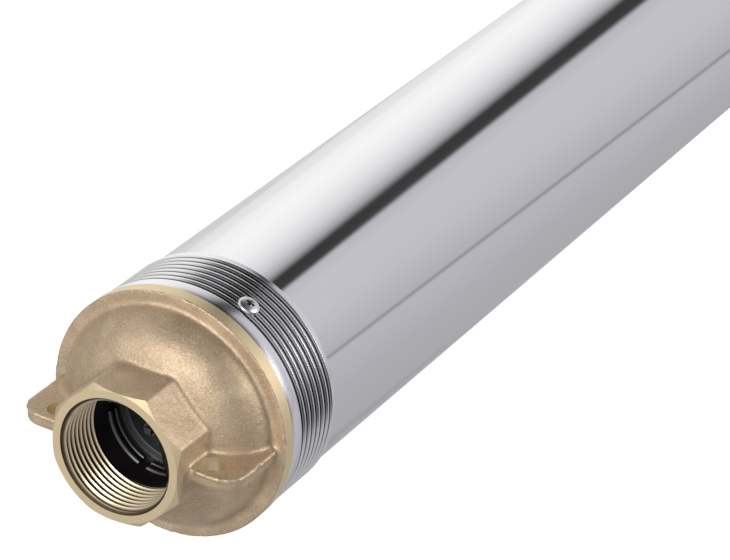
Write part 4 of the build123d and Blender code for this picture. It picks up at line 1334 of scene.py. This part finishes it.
@dataclass
class SuctionBracket:
    """Cast bracket between the pump and the motor, with its bolts."""

    ring_r: float = 45.0
    shell_end: float = -538.2
    window_top: float = -543.4
    window_bottom: float = -588.4
    flange_bottom: float = -600.4
    pillar_r: float = 43.1
    pillar_width: float = 15.0
    pillars: int = 4
    pillar_angle: float = 45.0
    throat_r: float = 37.0
    throat_top: float = -521.5
    eye_r: float = 16.4
    eye_bottom: float = -503.0
    stack_bottom: float = -498.0
    spigot_r: float = 42.4
    bore_r: float = 14.9
    notch: float = 15.06
    gland_reach: float = 30.5
    bolt_r: float = 27.8
    bolt_angle: float = 30.0
    bolt_flats: float = 10.0
    bolt_head: float = 4.0
    pillar_bow: tuple[float, ...] = (-0.172, -0.12, -0.06, 0, 0.06, 0.12, 0.172)
    pillar_roots: float = 6.0
    lead_in: Point = (41.9, -508.9)
    joint_gap: float = 0.5
    bolt_shank_r: float = 3.0
    bolt_shank: float = 22.0
    voxel: float = 0.8

    def pillar(self) -> list[Point]:
        """The section of the pillar that stands on the X axis.

        Returns:
            Its corners, with the outer side bowed.
        """
        half = self.pillar_width / 2
        far = hypot(self.pillar_r, half)
        bow = [(min(far * cos(angle), self.pillar_r), far * sin(angle)) for angle in self.pillar_bow]
        return [(self.throat_r, -half), *bow, (self.throat_r, half)]

    def rough_casting(self) -> Workpiece:
        """The flange, the pillars and the upper ring run together.

        Returns:
            The closed casting before any machining.
        """
        piece = Workpiece("bracket_casting")
        ring, throat, top, bottom = self.ring_r, self.throat_r, self.window_top, self.window_bottom
        piece.turn([(0, self.flange_bottom), (ring, self.flange_bottom), (ring, bottom), (0, bottom)], 160)
        height, middle = top - bottom + self.pillar_roots, shift(z=(top + bottom) / 2)
        for angle in angles_round(self.pillars, self.pillar_angle):
            piece.plate(self.pillar(), height, rotated(angle) @ middle)
        piece.weld()
        piece.turn([(throat, top), (ring, top), (ring, self.shell_end), (throat, self.shell_end)], 160)
        piece.weld()
        piece.cast(self.voxel, 12, 0.05)
        for corner in piece.mesh.verts:
            across = hypot(corner.co.x, corner.co.y)
            if across > ring:
                draw_in(corner, ring / across)
        return piece

    def lead_notch(self) -> Workpiece:
        """What the flange loses for the lead and its gland.

        Returns:
            The cutter.
        """
        tool = Workpiece("lead_notch")
        half, reach = self.notch / 2, self.gland_reach
        outline = [(half * cos(pi * i / 12), half * sin(pi * i / 12)) for i in range(13)]
        outline += [(-half, -reach), (half, -reach)]
        tool.plate(outline, 20, shift(0, -reach, (self.flange_bottom + self.window_bottom) / 2))
        return tool

    def spigot(self) -> None:
        """Turns the spigot that the pump's tube slides over."""
        piece = Workpiece("bracket_spigot")
        low = self.shell_end - self.joint_gap
        lead_r, lead = self.lead_in
        piece.turn([
            (self.throat_r, low), (self.spigot_r, low), (self.spigot_r, lead - 1), (lead_r, lead),
            (lead_r, self.stack_bottom), (self.eye_r, self.stack_bottom), (self.eye_r, self.eye_bottom),
            (self.throat_r, self.throat_top),
        ])
        piece.finish(Body.PUMP, TURNED_BRASS)

    def bolts(self) -> None:
        """Makes one bolt and sets all four on the flange."""
        piece = Workpiece("motor_bolt_set")
        made = piece.rod(self.bolt_flats / 2 / cos(pi / 6), 0, self.bolt_head, steps=6)
        piece.round_edges([corner for corner in made if corner.co.z > 1], 0.35)
        piece.rod(self.bolt_shank_r, -self.bolt_shank, 0.5, steps=32)
        angles = (self.bolt_angle, 180 - self.bolt_angle, 180 + self.bolt_angle, -self.bolt_angle)
        at = [(self.bolt_r * cos(radians(angle)), self.bolt_r * sin(radians(angle))) for angle in angles]
        piece.copies([shift(x, y, self.window_bottom) for x, y in at])
        piece.finish(Body.PUMP, BRIGHT_STEEL, ("motor_bolts",))

    def build(self) -> None:
        """Casts the bracket, turns its spigot and sets the bolts."""
        piece = self.rough_casting()
        bore = Workpiece("flange_bore")
        bore.rod(self.bore_r, self.flange_bottom - 3, self.window_bottom + 3, steps=72)
        piece.cut(bore, 1)
        piece.cut(self.lead_notch())
        piece.finish(Body.PUMP, BRASS_COATS, ("suction_bracket",), 38)
        self.spigot()
        self.bolts()


@dataclass
class MotorEnds:
    """The motor's upper cover, its lower cap with plug, and the lead's gland."""

    ring_r: float = 45.0
    cap_r: float = 43.5
    spigot_r: float = 42.4
    cover_top: float = -600.4
    cover_bottom: float = -614.4
    cover_end: float = -642.2
    shaft_gap_r: float = 8.4
    collar_r: float = 11.0
    shell_end: float = -928.4
    cap_ring_end: float = -935.4
    cap_top: float = -903.4
    base: float = -970.4
    foot_round: float = 6.0
    breather_r: float = 2.0
    plug_r: float = 4.0
    plug_reach: float = 15.0
    plug_slot: float = 1.2
    gland_reach: float = 30.5
    gland_flats: float = 12.0
    gland_height: float = 7.0
    gland_bore_r: float = 3.0
    gland_stem_r: float = 5.0
    bore_r: float = 37.4
    hub_r: float = 18.0
    hub_bore_r: float = 15.0
    collar_top: float = -598.4
    web_low: float = -614.4
    seal_seat: float = -605.4
    plug_top: float = -965.4
    cap_edge: float = 0.4
    hollow: tuple[Point, ...] = (
        (37.4, -903.4), (37.4, -934.4), (33.0, -934.4), (33.0, -937.4), (25.5, -937.4), (25.5, -965.4),
        (0, -965.4),
    )

    def cover(self) -> None:
        """Turns the upper cover."""
        piece = Workpiece("motor_cover_turned")
        edge, top, low, end = 0.6, self.cover_top, self.cover_bottom, self.cover_end
        gap, collar, collar_top, ring = self.shaft_gap_r, self.collar_r, self.collar_top, self.ring_r
        outside = [
            (gap, collar_top), (collar - 0.3, collar_top), (collar, collar_top - 0.3), (collar, top),
            (ring - edge, top), (ring, top - edge), (ring, low), (self.spigot_r, low), (self.spigot_r, end),
        ]
        inside = [
            (self.bore_r, end), (self.bore_r, self.web_low), (self.hub_r, self.web_low), (self.hub_r, end),
            (self.hub_bore_r, end), (self.hub_bore_r, self.seal_seat), (gap, self.seal_seat),
        ]
        piece.turn(outside + inside, 160)
        piece.finish(Body.PUMP, TURNED_BRASS, ("motor_cover",))

    def cap(self) -> None:
        """Turns the lower cap and drills its breather and plug hole."""
        piece = Workpiece("motor_cap_turned")
        round_r, ring, ring_end = self.foot_round, self.ring_r, self.cap_ring_end
        bend = [(self.cap_r - round_r * (1 - out), self.base + round_r * (1 - up)) for out, up in quarter(8)]
        outside = [
            (0, self.base), *reversed(bend), (self.cap_r, ring_end - self.cap_edge),
            (self.cap_r + 0.3, ring_end), (ring - 0.5, ring_end), (ring, ring_end + 0.5),
            (ring, self.shell_end), (self.spigot_r, self.shell_end), (self.spigot_r, self.cap_top),
        ]
        piece.turn([*outside, *self.hollow], 160)
        piece.weld()
        for face in piece.mesh.faces:
            middle = face.calc_center_median()
            cast = self.base + 0.5 < middle.z < self.cap_ring_end - 0.2 and hypot(middle.x, middle.y) > 38
            face.material_index = 0 if cast else 1
        drill = Workpiece("drill")
        drill.rod(self.breather_r, self.base - 2, self.base + 7, steps=32)
        drill.rod(self.plug_r + 0.1, self.base - 2, self.base + 7, shift(self.plug_reach), 40)
        piece.cut(drill, 1)
        piece.finish(Body.PUMP, BRASS_COATS, ("motor_end_cap",))

    def plug(self) -> None:
        """Turns the slotted plug of the cap."""
        piece = Workpiece("fill_plug_turned")
        low = self.base + 0.4
        made = piece.rod(self.plug_r, low, self.plug_top, shift(self.plug_reach), 40)
        piece.round_edges([corner for corner in made if corner.co.z < low + 1], 0.3, inner=True)
        slot = Workpiece("driver")
        slot.plate(strip(-6, 6, self.plug_slot), 2.4, shift(self.plug_reach, 0, low))
        piece.cut(slot)
        piece.finish(Body.PUMP, BRIGHT_STEEL, ("fill_plug",))

    def gland(self) -> None:
        """The lead's gland: a hexagon nut with a bore."""
        piece = Workpiece("gland_nut")
        where = shift(y=-self.gland_reach)
        low, high = self.cover_top, self.cover_top + self.gland_height
        piece.round_edges(piece.rod(self.gland_flats / 2 / cos(pi / 6), low, high, where, 6), 0.4)
        piece.rod(self.gland_stem_r, low - 20, low + 1, where, 48)
        bore = Workpiece("bore")
        bore.rod(self.gland_bore_r, low - 24, high + 4, where, 40)
        piece.weld()
        piece.cut(bore, 1, crossing=True)
        piece.finish(Body.PUMP, (TURNED_BRASS, TURNED_BRASS), ("cable_gland",))

    def build(self) -> None:
        """Makes the cover, the cap with its plug, and the gland."""
        self.cover()
        self.cap()
        self.plug()
        self.gland()


@dataclass
class InnerWorks:
    """The CAD nodes that stay as they are and only get their finish."""

    finishes: tuple[Finish, ...] = (
        GROUND_STEEL, RUBBER, BLACK_NYLON, FILLED_PLASTIC, IVORY_PLASTIC, POTTING_RESIN, ROTOR_IRON, CERAMIC,
        CARBON, TURNED_BRASS, PUNCHED_STEEL, BRIGHT_STEEL,
    )
    castings: tuple[str, ...] = (
        "discharge_head", "suction_bracket", "motor_cover", "motor_end_cap", "lower_bearing_housing",
    )
    tubes: tuple[str, ...] = ("pump_shell", "motor_shell")

    def finish_for(self, node: str, slot: str) -> Finish:
        """The finish of a CAD node.

        Args:
            node: Its name.
            slot: Its slot in the record.

        Returns:
            The finish.
        """
        if node in self.castings:
            return CAST_BRASS
        if node in self.tubes:
            return POLISHED_STEEL
        return {finish.slot: finish for finish in self.finishes}[Slot(slot)]

    def build(self) -> None:
        """Dresses every CAD node."""
        slots = {part["node"]: part["material_slot"] for part in frame["record"]["subparts"]}
        for node, thing in frame["nodes"].items():
            finish = self.finish_for(node, slots[node])
            for place in thing.material_slots:
                place.material = finish.material()
        log.info("CAD nodes dressed: %d", len(frame["nodes"]))


@dataclass
class Studio:
    """Floor, light tent, lamps, world and camera."""

    floor_gap: float = 0.0004
    floor_half: float = 6.0
    tent_r: float = 0.38
    tent_top: float = 0.9
    tent_bottom: float = -1.9
    camera_place: tuple[float, float, float] = (0.5129, 0.5985, 0.8250)
    camera_right: tuple[float, float, float] = (0.8690, 0.0669, -0.4902)
    camera_up: tuple[float, float, float] = (-0.2862, 0.8761, -0.3879)
    lens: float = 172.9
    sensor: float = 36.0
    air_light: float = 0.62
    paper: float = 0.82
    paper_glow: float = 0.45
    strips: tuple[Point, ...] = (
        (-180, 0.88), (-160, 0.80), (-130, 0.62), (-104, 0.42), (-50, 0.47), (-34, 0.50), (-12, 0.54),
        (-10.4, 0.27), (-9.2, 0.27), (-7.6, 0.50), (6, 0.53), (22, 0.58), (40, 0.615), (64, 0.615),
        (78, 0.56), (82, 0.05), (94, 0.04), (101, 0.42), (110, 0.66), (120, 0.82), (136, 0.97),
        (154, 1.03), (174, 0.97), (180, 0.93),
    )
    flag: float = 0.9
    flag_turn: tuple[Point, Point] = ((0.40, 0.45), (0.86, 0.81))
    flag_height: tuple[Point, Point] = ((-0.30, -0.24), (0.20, 0.08))
    dimming: float = 0.5
    dim_turn: Point = (0.36, 0.46)
    dim_height: tuple[Point, Point] = ((-0.30, -0.20), (0.34, 0.22))
    aim: tuple[float, float, float] = (0, 0, -0.15)
    lamps: tuple[tuple, ...] = (("key", (-0.15, 0.75, 1.45), 0.7, 13), ("fill", (1.45, 0.70, -0.7), 0.8, 17))

    def camera(self) -> None:
        """The camera at the photograph's viewing angle."""
        data = bpy.data.cameras.new("camera")
        data.lens = self.lens
        data.sensor_width = self.sensor
        data.clip_start, data.clip_end = 0.05, 50
        made = bpy.data.objects.new("camera", data)
        bpy.context.scene.collection.objects.link(made)
        right, up = Vector(self.camera_right).normalized(), Vector(self.camera_up).normalized()
        back = right.cross(up).normalized()
        up = back.cross(right)
        turned = Matrix((right, up, back)).transposed().to_4x4()
        made.matrix_world = Matrix.Translation(self.camera_place) @ turned
        bpy.context.scene.camera = made

    def rays(self, recipe: Recipe) -> Signal:
        """Tells rays that look from rays that light the object.

        Args:
            recipe: The tree that asks.

        Returns:
            1 for camera, glossy and transmission rays, and 0 for the others.
        """
        path = "ShaderNodeLightPath"
        kinds = ("Camera", "Glossy", "Transmission")
        camera, glossy, through = (recipe.node(path, output=f"Is {kind} Ray") for kind in kinds)
        return camera + glossy + through

    def world(self) -> None:
        """White to look at, and a plain level as a light."""
        made = bpy.data.worlds.new("studio_air")
        bpy.context.scene.world = made
        recipe = Recipe(made)
        strength = self.air_light + (1 - self.air_light) * self.rays(recipe)
        shade = recipe.node("ShaderNodeBackground", inputs={"Color": (1, 1, 1, 1), "Strength": strength})
        recipe.node("ShaderNodeOutputWorld", inputs={"Surface": shade})

    def floor(self) -> None:
        """A plain pale floor that keeps the pump's shadow."""
        data = bpy.data.meshes.new("floor")
        sheet = bmesh.new()
        bmesh.ops.create_grid(sheet, x_segments=1, y_segments=1, size=self.floor_half)
        bmesh.ops.translate(sheet, vec=(0, 0, cad_low.z - self.floor_gap), verts=sheet.verts)
        sheet.to_mesh(data)
        sheet.free()
        made = bpy.data.objects.new("floor", data)
        bpy.context.scene.collection.objects.link(made)
        coat = bpy.data.materials.new("floor_paper")
        recipe = Recipe(coat)
        paper = recipe.node("ShaderNodeBsdfDiffuse", inputs={"Color": rgba((self.paper,) * 3)})
        strength = self.paper_glow * self.rays(recipe)
        glow = recipe.node("ShaderNodeEmission", inputs={"Color": (1, 1, 1, 1), "Strength": strength})
        both = recipe.node("ShaderNodeAddShader", inputs={0: paper, 1: glow})
        recipe.node("ShaderNodeOutputMaterial", inputs={"Surface": both})
        coat.cycles.emission_sampling = "NONE"
        data.materials.append(coat)
        made.visible_glossy = False

    def window(self, signal: Signal, edges: tuple[Point, Point]) -> Signal:
        """1 between a rising and a falling soft edge, and 0 outside them."""
        return signal.step(*edges[0]) * signal.step(*edges[1])

    def tent(self) -> None:
        """A round light tent, seen only in reflections, with pale, grey and dark strips."""
        piece = Workpiece("light_tent")
        low, high = self.tent_bottom / MM, self.tent_top / MM
        radius = self.tent_r / MM
        piece.turn([(radius, low), (radius, high)], 96, closed=False)
        bmesh.ops.scale(piece.mesh, vec=(MM, MM, MM), verts=piece.mesh.verts)
        for face in piece.mesh.faces:
            face.smooth = True
        made = piece.holder()
        piece.mesh.free()
        coat = bpy.data.materials.new("tent_cloth")
        recipe = Recipe(coat)
        place = recipe.place()
        x, y, height = (recipe.part(place, axis) for axis in "XYZ")
        turn = x.maths("ARCTAN2", y, x) * (1 / (2 * pi)) + 0.5
        stops = [((angle + 180) / 360, tone(level)) for angle, level in self.strips]
        cloth = recipe.node("ShaderNodeValToRGB", {"stops": stops}, {"Fac": turn})
        flag = self.window(turn, self.flag_turn) * self.window(height, self.flag_height)
        far_side = turn.maths("ABSOLUTE", turn - 0.5).step(*self.dim_turn)
        dim = self.window(height, self.dim_height) * far_side
        strength = 1 - flag * self.flag - dim * self.dimming
        glow = recipe.node("ShaderNodeEmission", inputs={"Color": cloth, "Strength": strength})
        recipe.node("ShaderNodeOutputMaterial", inputs={"Surface": glow})
        coat.cycles.emission_sampling = "NONE"
        made.data.materials.append(coat)
        made.visible_camera = made.visible_diffuse = made.visible_shadow = made.visible_transmission = False
        made.visible_volume_scatter = False

    def lamp(self, name: str, place: Sequence[float], size: float, power: float) -> None:
        """A soft square lamp that points at the head.

        Args:
            name: What it is called.
            place: Where it hangs, in metres.
            size: Its side, in metres.
            power: In watts.
        """
        data = bpy.data.lights.new(name, "AREA")
        data.size = size
        data.energy = power
        made = bpy.data.objects.new(name, data)
        made.location = place
        made.rotation_mode = "QUATERNION"
        made.rotation_quaternion = (Vector(self.aim) - Vector(place)).to_track_quat("-Z", "Y")
        bpy.context.scene.collection.objects.link(made)

    def build(self) -> None:
        """Sets the studio up."""
        self.camera()
        self.world()
        self.floor()
        self.tent()
        for lamp in self.lamps:
            self.lamp(*lamp)
        bpy.context.scene.view_settings.view_transform = "Standard"
        log.info("studio ready")


def tone(level: float) -> Colour:
    """A grey of the tent's cloth, a little lilac where it isn't white."""
    tint = max(0.0, 1 - abs(level - 0.55) / 0.3)
    return (level, level * (1 - 0.012 * tint), level * (1 + 0.07 * tint))


def main() -> None:
    """Builds every sub-assembly in order."""
    logging.basicConfig(level=logging.INFO, format="%(name)s: %(message)s")
    InnerWorks().build()
    DischargeHead().build()
    RolledShell("pump_shell", *PUMP_TUBE).build()
    RolledShell("motor_shell", *MOTOR_TUBE).build()
    LockScrews(LOCK_SCREW_HEIGHTS).build()
    ValveCage().build()
    ValveSpring().build()
    SuctionBracket().build()
    SuctionStrainer().build()
    MotorEnds().build()
    Studio().build()


if __name__ == "__main__":
    main()
